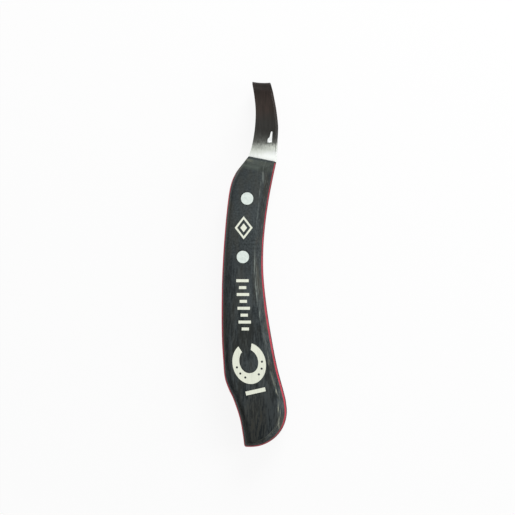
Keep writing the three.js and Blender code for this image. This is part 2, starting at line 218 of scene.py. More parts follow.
@dataclass
class MeshMaker:
    """Collects vertices and faces in plan millimetres, and makes an object of them in metres."""

    name: str
    offset: Vector
    vertices: list[Vector] = field(default_factory=list)
    faces: list[tuple[int, ...]] = field(default_factory=list)
    finishes: list[int] = field(default_factory=list)

    def add_points(self, points: Iterable[Vector]) -> list[int]:
        """Adds vertices.

        Args:
            points: Their places in plan, with their heights above the middle plane.

        Returns:
            Their numbers.
        """
        start = len(self.vertices)
        self.vertices.extend(points)
        return list(range(start, len(self.vertices)))

    def add_ring(self, ring: Sequence[Point2], height: float) -> list[int]:
        """Adds a flat ring of vertices at a height above the middle plane, and gives their numbers."""
        return self.add_points(Vector((x, y, height)) for x, y in ring)

    def add_face(self, corners: Sequence[int], finish: int = 0) -> None:
        """Adds a face, unless two of its corners are one.

        Args:
            corners: Its vertices in order.
            finish: The number of its finish.
        """
        if len(set(corners)) == len(corners):
            self.faces.append(tuple(corners))
            self.finishes.append(finish)

    def bridge(self, low: Sequence[int], high: Sequence[int], outward: bool = True, finish: int = 0) -> None:
        """Joins two rings of equally many vertices with a wall.

        Args:
            low: The lower ring, counter-clockwise.
            high: The upper ring, counter-clockwise.
            outward: Whether the wall faces away from the ring's inside.
            finish: The number of its finish.
        """
        count = len(low)
        for i in range(count):
            j = (i + 1) % count
            corners = (low[i], low[j], high[j], high[i])
            self.add_face(corners if outward else corners[::-1], finish)

    def skin(self, rings: Sequence[Sequence[int]], outward: bool = True) -> None:
        """Joins each ring to the next one with a wall."""
        for low, high in zip(rings, rings[1:]):
            self.bridge(low, high, outward)

    def fan(self, ring: Sequence[int], point: Vector) -> None:
        """Closes a ring with triangles that meet at a point.

        Args:
            ring: The ring's vertices.
            point: Where the triangles meet.
        """
        middle = self.add_points([point])[0]
        for i, corner in enumerate(ring):
            self.add_face((corner, ring[(i + 1) % len(ring)], middle))

    def fill(
        self,
        outer: Sequence[int],
        holes: Sequence[Sequence[int]] = (),
        prints: Sequence[Ring] = (),
        up: bool = True,
    ) -> None:
        """Fills a flat face between its rim, its holes and the shapes that are printed on it.

        Args:
            outer: The vertices of the rim, in order.
            holes: The vertices of each hole's rim.
            prints: Outlines whose inside, counted odd and even, takes finish 1.
            up: Whether the face looks up.
        """
        height = self.vertices[outer[0]].z
        rims = [outer, *holes]
        loops = [*rims, *[self.add_ring(ring, height) for ring in prints]]
        numbers = [n for loop in loops for n in loop]
        flat = [self.vertices[n].xy for n in numbers]
        edges: list[tuple[int, int]] = []
        for loop in loops:
            start = len(edges)
            edges.extend((start + i, start + (i + 1) % len(loop)) for i in range(len(loop)))
        points, _, triangles, origins, _, _ = delaunay_2d_cdt(flat, edges, [], 0, TINY)
        known = [numbers[origin[0]] if origin else None for origin in origins]
        rings = [[tuple(self.vertices[n].xy) for n in rim] for rim in rims]
        for triangle in triangles:
            corners = [known[c] for c in triangle]
            if None in corners:
                continue
            middle = sum((points[c] for c in triangle), Vector((0.0, 0.0))) / 3
            spot = (middle.x, middle.y)
            if not inside(spot, rings[0]) or any(inside(spot, ring) for ring in rings[1:]):
                continue
            ink = sum(inside(spot, ring) for ring in prints) % 2
            self.add_face(corners if up else corners[::-1], ink)

    def build(self, finishes: Sequence["Finish"], sharp_angle: float = 38.0) -> Object:
        """Makes the object, with smooth faces that meet sharply past an angle.

        Args:
            finishes: Its finishes, in the order of their numbers.
            sharp_angle: The angle in degrees past which an edge stays sharp.

        Returns:
            The object, at the model's origin.
        """
        mesh = bpy.data.meshes.new(self.name)
        mesh.from_pydata([(v + self.offset) * MM for v in self.vertices], [], self.faces)
        mesh.polygons.foreach_set("material_index", self.finishes)
        for finish in finishes:
            mesh.materials.append(finish.material)
        obj = add_object(self.name, mesh)
        finish_shading(obj, sharp_angle)
        return obj


def finish_shading(obj: Object, sharp_angle: float) -> None:
    """Merges doubled vertices, turns the faces outwards and sets smooth and sharp edges.

    Args:
        obj: The mesh object.
        sharp_angle: The angle in degrees past which an edge stays sharp.
    """
    work = bmesh.new()
    work.from_mesh(obj.data)
    bmesh.ops.remove_doubles(work, verts=work.verts, dist=TINY)
    bmesh.ops.recalc_face_normals(work, faces=work.faces)
    limit = math.radians(sharp_angle)
    for face in work.faces:
        face.smooth = True
    for edge in work.edges:
        edge.smooth = len(edge.link_faces) == 2 and edge.calc_face_angle(0.0) < limit
    work.to_mesh(obj.data)
    work.free()


class Change(Enum):
    """What other closed objects do to one."""

    JOIN = "UNION"
    CUT = "DIFFERENCE"


def change(obj: Object, others: Sequence[Object], how: Change) -> None:
    """Joins other closed objects to one, or cuts them from it, and removes them.

    Args:
        obj: The object that is kept.
        others: The objects that are joined or cut.
        how: Which of the two is done.
    """
    for other in others:
        step = obj.modifiers.new(how.name.lower(), "BOOLEAN")
        step.operation = how.value
        step.object = other
        step.solver = "EXACT"
        step.material_mode = "TRANSFER"
    graph = bpy.context.evaluated_depsgraph_get()
    result = bpy.data.meshes.new_from_object(obj.evaluated_get(graph), depsgraph=graph)
    obj.modifiers.clear()
    obj.data = result
    for other in others:
        bpy.data.objects.remove(other)


def inside(point: Point2, ring: Sequence[Point2]) -> bool:
    """Whether a point lies inside a closed ring.

    Args:
        point: The point.
        ring: The ring's corners in order.

    Returns:
        True inside, and False outside.
    """
    x, y = point
    found = False
    for (x0, y0), (x1, y1) in zip(ring, [*ring[1:], ring[0]]):
        if (y0 > y) != (y1 > y) and x < x0 + (x1 - x0) * (y - y0) / (y1 - y0):
            found = not found
    return found


def arc(centre: Sequence[float], radius: float, first: float, last: float, steps: int) -> Ring:
    """Points along an arc in plan.

    Args:
        centre: Its centre.
        radius: Its radius.
        first: The angle at which it starts.
        last: The angle at which it ends.
        steps: How many steps lie between them.

    Returns:
        The steps + 1 points, with both ends.
    """
    angles = spread(first, last, steps)
    return [(centre[0] + radius * math.cos(a), centre[1] + radius * math.sin(a)) for a in angles]


def circle(centre: Point2, radius: float, sides: int = 96) -> Ring:
    """A counter-clockwise circle in plan, with as many points as sides."""
    return arc(centre, radius, 0.0, 2 * math.pi, sides)[:-1]


# ------------------------------------------------------------------ material nodes


@dataclass(frozen=True)
class Pattern:
    """Noise with its own waves per metre along X, Y and Z, and the ramp that it is read through, if any."""

    scale: Point3
    detail: float = 3.0
    roughness: float = 0.5
    shift: float = 0.0
    stops: Stops = ()


# What the finishes share: the veneers' fibre, a matt surface's specular level, a middle grey, and the share
# of the handle's right side by how much farther from the left edge than from the right one a place lies.
VENEER_FIBRE = Pattern((1800.0, 120.0, 2600.0), detail=4.0, roughness=0.6)
MATT = 0.1
MID_GREY: Colour = (0.5, 0.5, 0.5)
RIGHT_SIDE: Stops = ((-8.0, 0.0), (8.0, 1.0))
RIGHT_SIDE_SPAN: Pair = (-20.0, 20.0)


class Sum(Enum):
    """What a math node works out, by Blender's own names."""

    ADD = "ADD"
    SUBTRACT = "SUBTRACT"
    MULTIPLY = "MULTIPLY"
    DIVIDE = "DIVIDE"
    MULTIPLY_ADD = "MULTIPLY_ADD"
    MAXIMUM = "MAXIMUM"
    ABSOLUTE = "ABSOLUTE"


class Blend(Enum):
    """How a colour goes over another."""

    COVER = "MIX"
    SHADE = "MULTIPLY"


class Tree:
    """A node tree, with short calls for its sums."""

    def __init__(self, tree: bpy.types.NodeTree) -> None:
        """Takes the tree up."""
        self.tree = tree

    def new(self, kind: str) -> bpy.types.Node:
        """A new node of a kind."""
        return self.tree.nodes.new(f"ShaderNode{kind}")

    def link(self, source: Socket, target: Socket) -> None:
        """Joins two sockets."""
        self.tree.links.new(source, target)

    def feed(self, target: Socket, value: Value | Sequence[float]) -> None:
        """Sets a socket to a number or colour, or joins another socket to it.

        Args:
            target: The socket that is fed.
            value: The number, colour or socket.
        """
        if isinstance(value, Socket):
            self.link(value, target)
        else:
            target.default_value = value

    def math(self, what: Sum, *values: Value) -> Socket:
        """A math node.

        Args:
            what: What it works out.
            values: Its values or sockets, in order.

        Returns:
            The result's socket.
        """
        node = self.new("Math")
        node.operation = what.value
        for target, value in zip(node.inputs, values):
            self.feed(target, value)
        return node.outputs[0]

    def times(self, *values: Value) -> Socket:
        """The product of two or more values."""
        return reduce(lambda a, b: self.math(Sum.MULTIPLY, a, b), values)

    def largest(self, *values: Value) -> Socket:
        """The largest of two or more values."""
        return reduce(lambda a, b: self.math(Sum.MAXIMUM, a, b), values)

    def less(self, a: Value, b: Value) -> Socket:
        """One value less another."""
        return self.math(Sum.SUBTRACT, a, b)

    def over(self, a: Value, b: Value) -> Socket:
        """One value over another."""
        return self.math(Sum.DIVIDE, a, b)

    def scaled(self, value: Value, factor: Value, plus: Value) -> Socket:
        """A value times a factor, plus another value."""
        return self.math(Sum.MULTIPLY_ADD, value, factor, plus)

    def centred(self, value: Socket) -> Socket:
        """A value that lies about a half, moved to lie about 0."""
        return self.less(value, 0.5)


class Nodes(Tree):
    """A material's nodes, with short calls for the places and patterns that the finishes share."""

    def __init__(self, name: str) -> None:
        """Starts a material that holds only a principled shader and its output.

        Args:
            name: The material's name.
        """
        self.material = bpy.data.materials.new(name)
        self.material.use_nodes = True
        super().__init__(self.material.node_tree)
        self.shader = self.tree.nodes["Principled BSDF"]
        self.place = self.new("TexCoord").outputs["Object"]

    def axis(self, name: str) -> Socket:
        """One coordinate of the place on the knife.

        Args:
            name: The axis, as X, Y or Z.

        Returns:
            Its socket, in mm.
        """
        node = self.new("SeparateXYZ")
        self.link(self.place, node.inputs[0])
        return self.over(node.outputs[name], MM)

    def apart(self, name: str, middle: float) -> Socket:
        """How far the place lies from a plane across an axis, in mm."""
        return self.math(Sum.ABSOLUTE, self.less(self.axis(name), middle))

    def past_edge(self, edge: Sequence[Point2]) -> Socket:
        """How far the place lies to the right of one of the handle's edges.

        Args:
            edge: The edge's stations, as shares of the handle's length and X in the plan.

        Returns:
            The distance's socket, in mm.
        """
        share = self.over(self.less(PLAN_ORIGIN[1], self.axis("Y")), HANDLE_LENGTH)
        stops = [(max(place, 0.0), (x - EDGES_FROM) / EDGES_SPAN) for place, x in edge]
        edge_x = self.scaled(self.ramp(share, stops), EDGES_SPAN, PLAN_ORIGIN[0] + EDGES_FROM)
        return self.less(self.axis("X"), edge_x)

    @cached_property
    def behind(self) -> Socket:
        """How far the place lies behind the handle's slanting front edge, in mm."""
        edge = self.scaled(self.axis("X"), FRONT_SLANT, FRONT_LINE)
        return self.less(edge, self.axis("Y"))

    @cached_property
    def along(self) -> Socket:
        """How far the place lies behind the front edge, as a share of the handle's length."""
        return self.over(self.behind, HANDLE_LENGTH)

    @cached_property
    def height(self) -> Socket:
        """How far the place lies above or below the handle's middle plane, in mm."""
        return self.apart("Z", HALF_HEIGHT)

    @cached_property
    def from_left(self) -> Socket:
        """How far the place lies in from the handle's left edge, in mm."""
        return self.past_edge(LEFT_EDGE)

    @cached_property
    def from_right(self) -> Socket:
        """How far the place lies in from the handle's right edge, in mm."""
        return self.times(self.past_edge(RIGHT_EDGE), -1.0)

    @cached_property
    def right(self) -> Socket:
        """The share of the handle's right side, which rises from 0 to 1 about its middle."""
        return self.ramp(self.less(self.from_left, self.from_right), RIGHT_SIDE, RIGHT_SIDE_SPAN)

    def noise(self, pattern: Pattern) -> Socket:
        """A noise pattern.

        Args:
            pattern: Its scale and look.

        Returns:
            Its value's socket, from 0 to 1, read through its ramp if it has one.
        """
        mapping = self.new("Mapping")
        self.link(self.place, mapping.inputs["Vector"])
        mapping.inputs["Scale"].default_value = pattern.scale
        mapping.inputs["Location"].default_value = (pattern.shift,) * 3
        node = self.new("TexNoise")
        self.link(mapping.outputs[0], node.inputs["Vector"])
        node.inputs["Scale"].default_value = 1.0
        node.inputs["Detail"].default_value = pattern.detail
        node.inputs["Roughness"].default_value = pattern.roughness
        value = node.outputs["Fac"]
        return self.ramp(value, pattern.stops) if pattern.stops else value

    def ramp(
        self, value: Socket, stops: Sequence[tuple[float, float | Colour]], span: Pair = (0.0, 1.0)
    ) -> Socket:
        """A colour ramp.

        Args:
            value: The socket that it reads.
            stops: Pairs of a place and a colour, or a number for a grey.
            span: The values at the ramp's two ends. The places are written in the same unit.

        Returns:
            Its colour's socket.
        """
        low, high = span
        node = self.new("ValToRGB")
        elements = node.color_ramp.elements
        while len(elements) < len(stops):
            elements.new(0.5)
        for element, (place, colour) in zip(elements, stops):
            element.position = (place - low) / (high - low)
            rgb = (colour,) * 3 if isinstance(colour, (int, float)) else colour
            element.color = (*rgb, 1.0)
        if span != (0.0, 1.0):
            value = self.scaled(value, 1 / (high - low), -low / (high - low))
        self.link(value, node.inputs[0])
        return node.outputs["Color"]

    def mix(
        self, share: Value, a: Socket | Colour, b: Socket | Colour, blend: Blend = Blend.COVER
    ) -> Socket:
        """A mix of two colours.

        Args:
            share: How much of the second shows.
            a: The first colour or socket.
            b: The second.
            blend: How the second goes over the first.

        Returns:
            The mixed colour's socket.
        """
        node = self.new("Mix")
        node.data_type = "RGBA"
        node.blend_type = blend.value
        self.feed(node.inputs[0], share)
        for target, value in ((node.inputs[6], a), (node.inputs[7], b)):
            self.feed(target, value if isinstance(value, Socket) else (*value, 1.0))
        return node.outputs[2]

    def dress(self, colour: Socket, gloss: Value, specular: float, relief: Socket, depth: Pair) -> None:
        """Gives the shader its colour, roughness and relief.

        Args:
            colour: The colour's socket.
            gloss: The roughness.
            specular: The specular level.
            relief: The pattern that raises the surface.
            depth: How much of the pattern counts, and its height in mm.
        """
        self.link(colour, self.shader.inputs["Base Color"])
        self.feed(self.shader.inputs["Roughness"], gloss)
        self.shader.inputs["Specular IOR Level"].default_value = specular
        node = self.new("Bump")
        node.inputs["Strength"].default_value = depth[0]
        node.inputs["Distance"].default_value = depth[1] * MM
        self.link(relief, node.inputs["Height"])
        self.link(node.outputs[0], self.shader.inputs["Normal"])


@dataclass(frozen=True)
class Laminate:
    """Dyed laminated wood: mottled short grain, pale lines where the rounds cut the plies, and a matt oil,
    with painted light and shade along the face, on the walls and plies, in bands beside the edges and along
    the front edge.

    Stops are pairs of a place and a level. Their places are shares of the handle's length behind its front
    edge, but those of the plies and of the streak's band are shares of ply_span and streak_span, and those
    of the front, the painted shade bands and the dash are in mm.
    """

    name: str
    dark: Colour
    light: Colour
    warm: Colour
    facet: Colour = (0.047, 0.056, 0.049)
    # Painted light: how much lighter the face just behind the front facet is painted.
    facet_painted_light: float = 1.9
    worn: Colour = (0.125, 0.132, 0.100)
    line: Colour = (0.275, 0.285, 0.225)
    front_line: Colour = (0.250, 0.282, 0.258)
    dye: Colour = (0.20, 0.024, 0.036)
    dye_share: float = 0.0
    line_share: float = 1.0
    roughness: float = 0.82
    gloss_swing: float = -0.05
    relief: Pair = (0.35, 0.03)

    fibre: Pattern = Pattern((1200.0, 175.0, 900.0), detail=4.0, roughness=0.65)
    mottle: Pattern = Pattern((1000.0, 900.0, 900.0), roughness=0.6, shift=3.7)
    cloud: Pattern = Pattern((210.0, 45.0, 60.0), roughness=0.6, shift=9.1)
    cloud_share: float = 0.35
    cloudy: Stops = ((0.3, 0.0), (0.4, 1.0))
    streaky: Stops = ((0.1, 0.0), (0.32, 0.1), (0.4, 0.6), (0.8, 0.85))
    contrast: Stops = ((0.15, 0.22), (0.5, 0.58), (0.85, 0.95))
    full_contrast: float = 10.0
    mean_grain: float = 0.45

    ply_span: float = 6.0
    ply_wave: Pattern = Pattern((150.0, 60.0, 60.0), roughness=0.6, shift=1.3)
    ply_wander: float = 0.20
    ply_wall: Stops = ((0.01, 0.0), (0.08, 1.0))
    ply_lines: Stops = (
        (0.082, 0.0), (0.094, 0.7), (0.12, 0.6), (0.135, 0.0), (0.26, 0.0), (0.28, 0.4), (0.31, 0.0),
        (0.78, 0.0), (0.83, 0.4), (0.88, 0.0),
    )
    lines_shown: Stops = (
        (0.02, 0.2), (0.08, 0.4), (0.12, 0.2), (0.32, 0.25), (0.38, 0.75), (0.45, 0.7), (0.50, 0.3),
        (0.54, 0.6), (0.57, 0.3), (0.65, 0.3), (0.68, 0.7), (0.71, 0.3), (0.75, 0.3), (0.79, 0.9),
        (0.82, 0.3), (0.86, 1.0), (0.91, 0.8), (0.94, 0.4), (0.97, 0.7),
    )
    line_dashes: Pattern = Pattern((500.0, 130.0, 500.0), shift=8.5, stops=((0.42, 0.12), (0.56, 1.0)))
    lines_left: float = 0.25
    butt_line: Stops = ((0.009, 0.0), (0.016, 1.0), (0.038, 1.0), (0.050, 0.0))
    butt_line_shown: Stops = ((0.9, 0.0), (0.95, 0.4))
    line_warms: Stops = ((0.6, 0.0), (0.7, 1.0))

    streak_span: float = 10.0
    streak_place: Stops = ((0.0, 0.52), (0.1, 0.46), (0.2, 0.36), (0.5, 0.35), (0.75, 0.28), (0.95, 0.26))
    streak_wave: Pattern = Pattern((60.0, 45.0, 60.0), detail=2.0, shift=5.2)
    streak_wander: float = 0.06
    streak_band: Stops = ((0.02, 1.0), (0.05, 0.0))
    streak_shown: Stops = (
        (0.01, 0.1), (0.05, 0.6), (0.1, 0.6), (0.14, 0.25), (0.31, 0.25), (0.37, 0.8), (0.47, 0.65),
        (0.5, 0.2), (0.53, 0.8), (0.56, 0.15), (0.66, 0.15), (0.69, 0.8), (0.72, 0.2), (0.76, 0.3),
        (0.79, 1.0), (0.82, 0.2), (0.85, 1.0), (0.91, 0.7), (0.94, 0.0),
    )
    streak_dashes: Pattern = Pattern((1100.0, 150.0, 900.0), shift=14.5, stops=((0.44, 0.1), (0.60, 1.0)))
    dash_x: float = 5.85
    dash_band: Stops = ((0.3, 0.44), (0.6, 0.0))
    dash_shown: Stops = ((0.038, 0.0), (0.046, 1.0), (0.068, 1.0), (0.084, 0.0))

    patches: Pattern = Pattern((260.0, 60.0, 120.0), shift=6.4, stops=((0.45, 0.0), (0.62, 0.8)))
    patch_level: Pair = (0.4, 0.35)
    flecks: Pattern = Pattern((1500.0, 130.0, 1500.0), shift=12.0, stops=((0.62, 0.0), (0.74, 0.45)))
    fleck_level: Pair = (0.7, 0.2)
    palm: Point2 = (1.5, -86.0)
    palm_reach: Pair = (7.2, 24.0)
    palm_fade: Stops = ((0.0, 0.8), (0.4, 0.5), (1.0, 0.0))

    ply_base: float = 0.62
    # Painted light and shade of the plies by depth, set apart for the left and the right side.
    left_ply_painted_light: Stops = ((0.01, 0.62), (0.05, 0.60), (0.20, 0.56), (0.38, 1.0), (0.7, 1.15), (0.9, 1.2))
    right_ply_painted_light: Stops = ((0.0, 0.62), (0.06, 0.66), (0.25, 0.66), (0.6, 0.70), (0.9, 0.86))
    # Painted light and shade: the face's level along its length, lighter on its right side, and the right
    # wall's own level.
    face_painted_light: Stops = (
        (0.0, 0.88), (0.1, 0.88), (0.2, 1.0), (0.3, 0.83), (0.4, 0.84), (0.55, 0.73), (0.66, 0.66),
        (0.78, 0.76), (0.88, 0.68), (1.0, 0.43),
    )
    face_painted_side_light: Pair = (0.14, 0.95)
    wall_painted_light: Stops = (
        (0.0, 0.43), (0.08, 0.44), (0.18, 0.50), (0.3, 0.64), (0.6, 0.69), (0.78, 0.60), (0.9, 0.85),
    )
    # Painted shade: a dark band a few mm in from the left edge, deeper towards the butt, and one in from the
    # right edge near the butt.
    left_painted_shade: Stops = ((2.9, 0.0), (3.6, 1.0), (4.3, 1.0), (5.7, 0.0))
    left_painted_shade_amount: Stops = ((0.1, 0.08), (0.32, 0.12), (0.45, 0.25), (0.55, 0.38), (0.8, 0.52))
    left_painted_shade_span: Pair = (0.0, 10.0)
    right_painted_shade: Stops = ((2.72, 0.0), (4.48, 1.0), (11.52, 1.0), (13.44, 0.0))
    right_painted_shade_amount: Stops = ((0.76, 0.0), (0.83, 0.3), (0.89, 0.3), (0.95, 0.1))
    right_painted_shade_span: Pair = (0.0, 16.0)

    front_span: Pair = (0.0, 8.0)
    facet_turn: Pair = (3.36, 4.64)
    facet_even: Stops = ((0.7, 0.0), (0.95, 1.0))
    facet_shown: Stops = ((0.0, 0.85), (4.0, 0.7), (4.8, 0.95), (7.04, 0.0))
    # Painted shadow: a dark line along the front edge, under the steel.
    front_shadow_shown: Stops = ((0.48, 0.75), (1.04, 0.0))
    olive_behind: Stops = ((0.8, 0.0), (1.36, 1.0), (2.0, 0.8), (2.72, 0.0))
    olive_across: Stops = ((-6.0, 0.4), (-4.4, 1.0), (-1.6, 0.6), (1.2, 0.0))
    olive_span: Pair = (-10.0, 10.0)
    olive_rough: Pattern = Pattern((420.0, 700.0, 500.0), shift=2.2, stops=((0.35, 0.3), (0.55, 1.0)))

    core_dye: Stops = ((0.45, 1.0), (0.6, 0.0))
    dye_rise: Stops = (
        (0.1, 0.40), (0.3, 0.47), (0.44, 0.49), (0.54, 0.59), (0.66, 0.61), (0.74, 0.53), (0.8, 0.52),
        (0.97, 0.42),
    )
    dye_fray: float = 0.03
    dye_edge: Stops = ((0.0, 0.0), (0.012, 0.85))

    def _grain(self, nodes: Nodes) -> Socket:
        """The grain's lightness: mottled at the front and streaked with more contrast towards the butt.

        Args:
            nodes: The material's nodes.

        Returns:
            The lightness from 0 to 1.
        """
        fibre, mottle = nodes.noise(self.fibre), nodes.noise(self.mottle)
        cloud = nodes.mix(nodes.ramp(nodes.along, self.cloudy), MID_GREY, nodes.noise(self.cloud))
        fine = nodes.scaled(nodes.ramp(nodes.along, self.streaky), nodes.less(fibre, mottle), mottle)
        grain = nodes.scaled(cloud, self.cloud_share, nodes.times(fine, 1 - self.cloud_share))
        contrast = nodes.times(nodes.ramp(nodes.along, self.contrast), self.full_contrast)
        return nodes.scaled(nodes.centred(grain), contrast, self.mean_grain)

    def _plies(self, nodes: Nodes) -> tuple[Socket, Socket, Socket]:
        """The pale lines between the plies, the share that is wall, and the painted light and shade of each
        ply by its depth and side.

        Args:
            nodes: The material's nodes.

        Returns:
            The sockets of the three.
        """
        wave = nodes.centred(nodes.noise(self.ply_wave))
        depth = nodes.scaled(wave, self.ply_wander, nodes.less(HALF_HEIGHT, nodes.height))
        share = nodes.over(depth, self.ply_span)
        lines = nodes.largest(
            nodes.times(nodes.ramp(share, self.ply_lines), nodes.ramp(nodes.along, self.lines_shown)),
            nodes.times(nodes.ramp(share, self.butt_line), nodes.ramp(nodes.along, self.butt_line_shown)),
        )
        sided = nodes.scaled(nodes.right, 1 - self.lines_left, self.lines_left)
        lines = nodes.times(lines, nodes.noise(self.line_dashes), sided, self.line_share)
        # Painted light and shade of each ply, by its depth and by side.
        light = nodes.mix(
            nodes.right, nodes.ramp(share, self.left_ply_painted_light), nodes.ramp(share, self.right_ply_painted_light)
        )
        return lines, nodes.ramp(share, self.ply_wall), nodes.over(light, self.ply_base)

    def _streak(self, nodes: Nodes) -> Socket:
        """The broken pale streak along the right of the face, where the round cuts the first ply.

        Args:
            nodes: The material's nodes.

        Returns:
            The share of it that shows, with the bold dash beside the front rivet.
        """
        wave = nodes.centred(nodes.noise(self.streak_wave))
        place = nodes.ramp(nodes.along, self.streak_place)
        aside = nodes.less(nodes.over(nodes.from_right, self.streak_span), place)
        aside = nodes.math(Sum.ABSOLUTE, nodes.scaled(wave, self.streak_wander, aside))
        streak = nodes.times(
            nodes.ramp(aside, self.streak_band),
            nodes.ramp(nodes.along, self.streak_shown),
            nodes.noise(self.streak_dashes),
        )
        dash = nodes.ramp(nodes.apart("X", self.dash_x), self.dash_band)
        return nodes.largest(streak, nodes.times(nodes.ramp(nodes.along, self.dash_shown), dash))

    def _warmth(self, nodes: Nodes, grain: Socket, wall: Socket) -> Socket:
        """The share of the warm tone: in patches, more of them on the walls, and where the palm rests.

        Args:
            nodes: The material's nodes.
            grain: The grain's lightness.
            wall: The share that is wall.

        Returns:
            The share's socket.
        """
        squares = []
        for name, middle, reach in zip("XY", self.palm, self.palm_reach):
            off = nodes.over(nodes.less(nodes.axis(name), middle), reach)
            squares.append(nodes.times(off, off))
        palm = nodes.ramp(nodes.math(Sum.ADD, *squares), self.palm_fade)
        patches = nodes.times(nodes.noise(self.patches), nodes.scaled(wall, *self.patch_level))
        return nodes.largest(patches, nodes.times(palm, grain))

    def _level(self, nodes: Nodes, wall: Socket, plies: Socket) -> Socket:
        """The painted light and shade along the face, the walls and the plies, and the painted shade band
        beside either edge.

        Args:
            nodes: The material's nodes.
            wall: The share that is wall.
            plies: The painted light and shade of each ply.

        Returns:
            The level's socket.
        """
        # Painted light: the face's level along its length and by side, and the right wall's level.
        face = nodes.times(
            nodes.ramp(nodes.along, self.face_painted_light), nodes.scaled(nodes.right, *self.face_painted_side_light)
        )
        level = nodes.mix(nodes.times(wall, nodes.right), face, nodes.ramp(nodes.along, self.wall_painted_light))
        # Painted shade bands beside the left and the right edge.
        left = nodes.times(
            nodes.ramp(nodes.from_left, self.left_painted_shade, self.left_painted_shade_span),
            nodes.ramp(nodes.along, self.left_painted_shade_amount),
        )
        right = nodes.times(
            nodes.ramp(nodes.from_right, self.right_painted_shade, self.right_painted_shade_span),
            nodes.ramp(nodes.along, self.right_painted_shade_amount),
        )
        return nodes.times(level, plies, nodes.less(1.0, nodes.largest(left, right)))

    def _front(self, nodes: Nodes, colour: Socket) -> Socket:
        """Lays the paler facet with painted light on the flat just behind it, a painted shadow along the
        front edge, and the worn olive patch on it over a colour.

        Args:
            nodes: The material's nodes.
            colour: The colour behind them.

        Returns:
            The colour with the front.
        """
        near, span = nodes.behind, self.front_span
        # Painted light: the facet colour is lifted behind the facet's turn, but not on the right side.
        painted_lit_facet = tuple(self.facet_painted_light * part for part in self.facet)
        bare = nodes.ramp(near, tuple(zip(self.facet_turn, (self.facet, painted_lit_facet))), span)
        bare = nodes.mix(nodes.ramp(nodes.right, self.facet_even), bare, self.facet)
        colour = nodes.mix(nodes.ramp(near, self.facet_shown, span), colour, bare)
        # Painted shadow along the front edge, in the wood's dark colour.
        colour = nodes.mix(nodes.ramp(near, self.front_shadow_shown, span), colour, self.dark)
        olive = nodes.times(
            nodes.ramp(near, self.olive_behind, span),
            nodes.ramp(nodes.axis("X"), self.olive_across, self.olive_span),
            nodes.noise(self.olive_rough),
        )
        return nodes.mix(olive, colour, self.worn)

    def _bleed(self, nodes: Nodes) -> Socket:
        """The share of the veneers' dye that has run into the wood beside them.

        Args:
            nodes: The material's nodes.

        Returns:
            The share's socket.
        """
        if self.dye_share:
            return nodes.times(nodes.ramp(nodes.along, self.core_dye), self.dye_share)
        below = nodes.less(nodes.ramp(nodes.along, self.dye_rise), nodes.over(nodes.height, HALF_HEIGHT))
        fibre = nodes.centred(nodes.noise(VENEER_FIBRE))
        below = nodes.ramp(nodes.scaled(fibre, self.dye_fray, below), self.dye_edge)
        return nodes.times(below, nodes.less(1.0, nodes.right))

    def make(self) -> Material:
        """Makes the material.

        Returns:
            The material.
        """
        nodes = Nodes(self.name)
        grain = self._grain(nodes)
        lines, wall, plies = self._plies(nodes)
        colour = nodes.mix(grain, self.dark, self.light)
        colour = nodes.mix(self._warmth(nodes, grain, wall), colour, self.warm)
        # Multiplies in the painted light and shade of the face, the walls, the plies and the bands beside the
        # edges.
        colour = nodes.mix(1.0, colour, self._level(nodes, wall, plies), Blend.SHADE)
        colour = self._front(nodes, colour)
        flecks = nodes.times(nodes.noise(self.flecks), nodes.scaled(wall, *self.fleck_level))
        line = nodes.mix(nodes.ramp(nodes.along, self.line_warms), self.front_line, self.line)
        colour = nodes.mix(nodes.largest(lines, self._streak(nodes), flecks), colour, line)
        colour = nodes.mix(self._bleed(nodes), colour, self.dye)
        gloss = nodes.scaled(grain, self.gloss_swing, self.roughness)
        nodes.dress(colour, gloss, MATT, grain, self.relief)
        return nodes.material


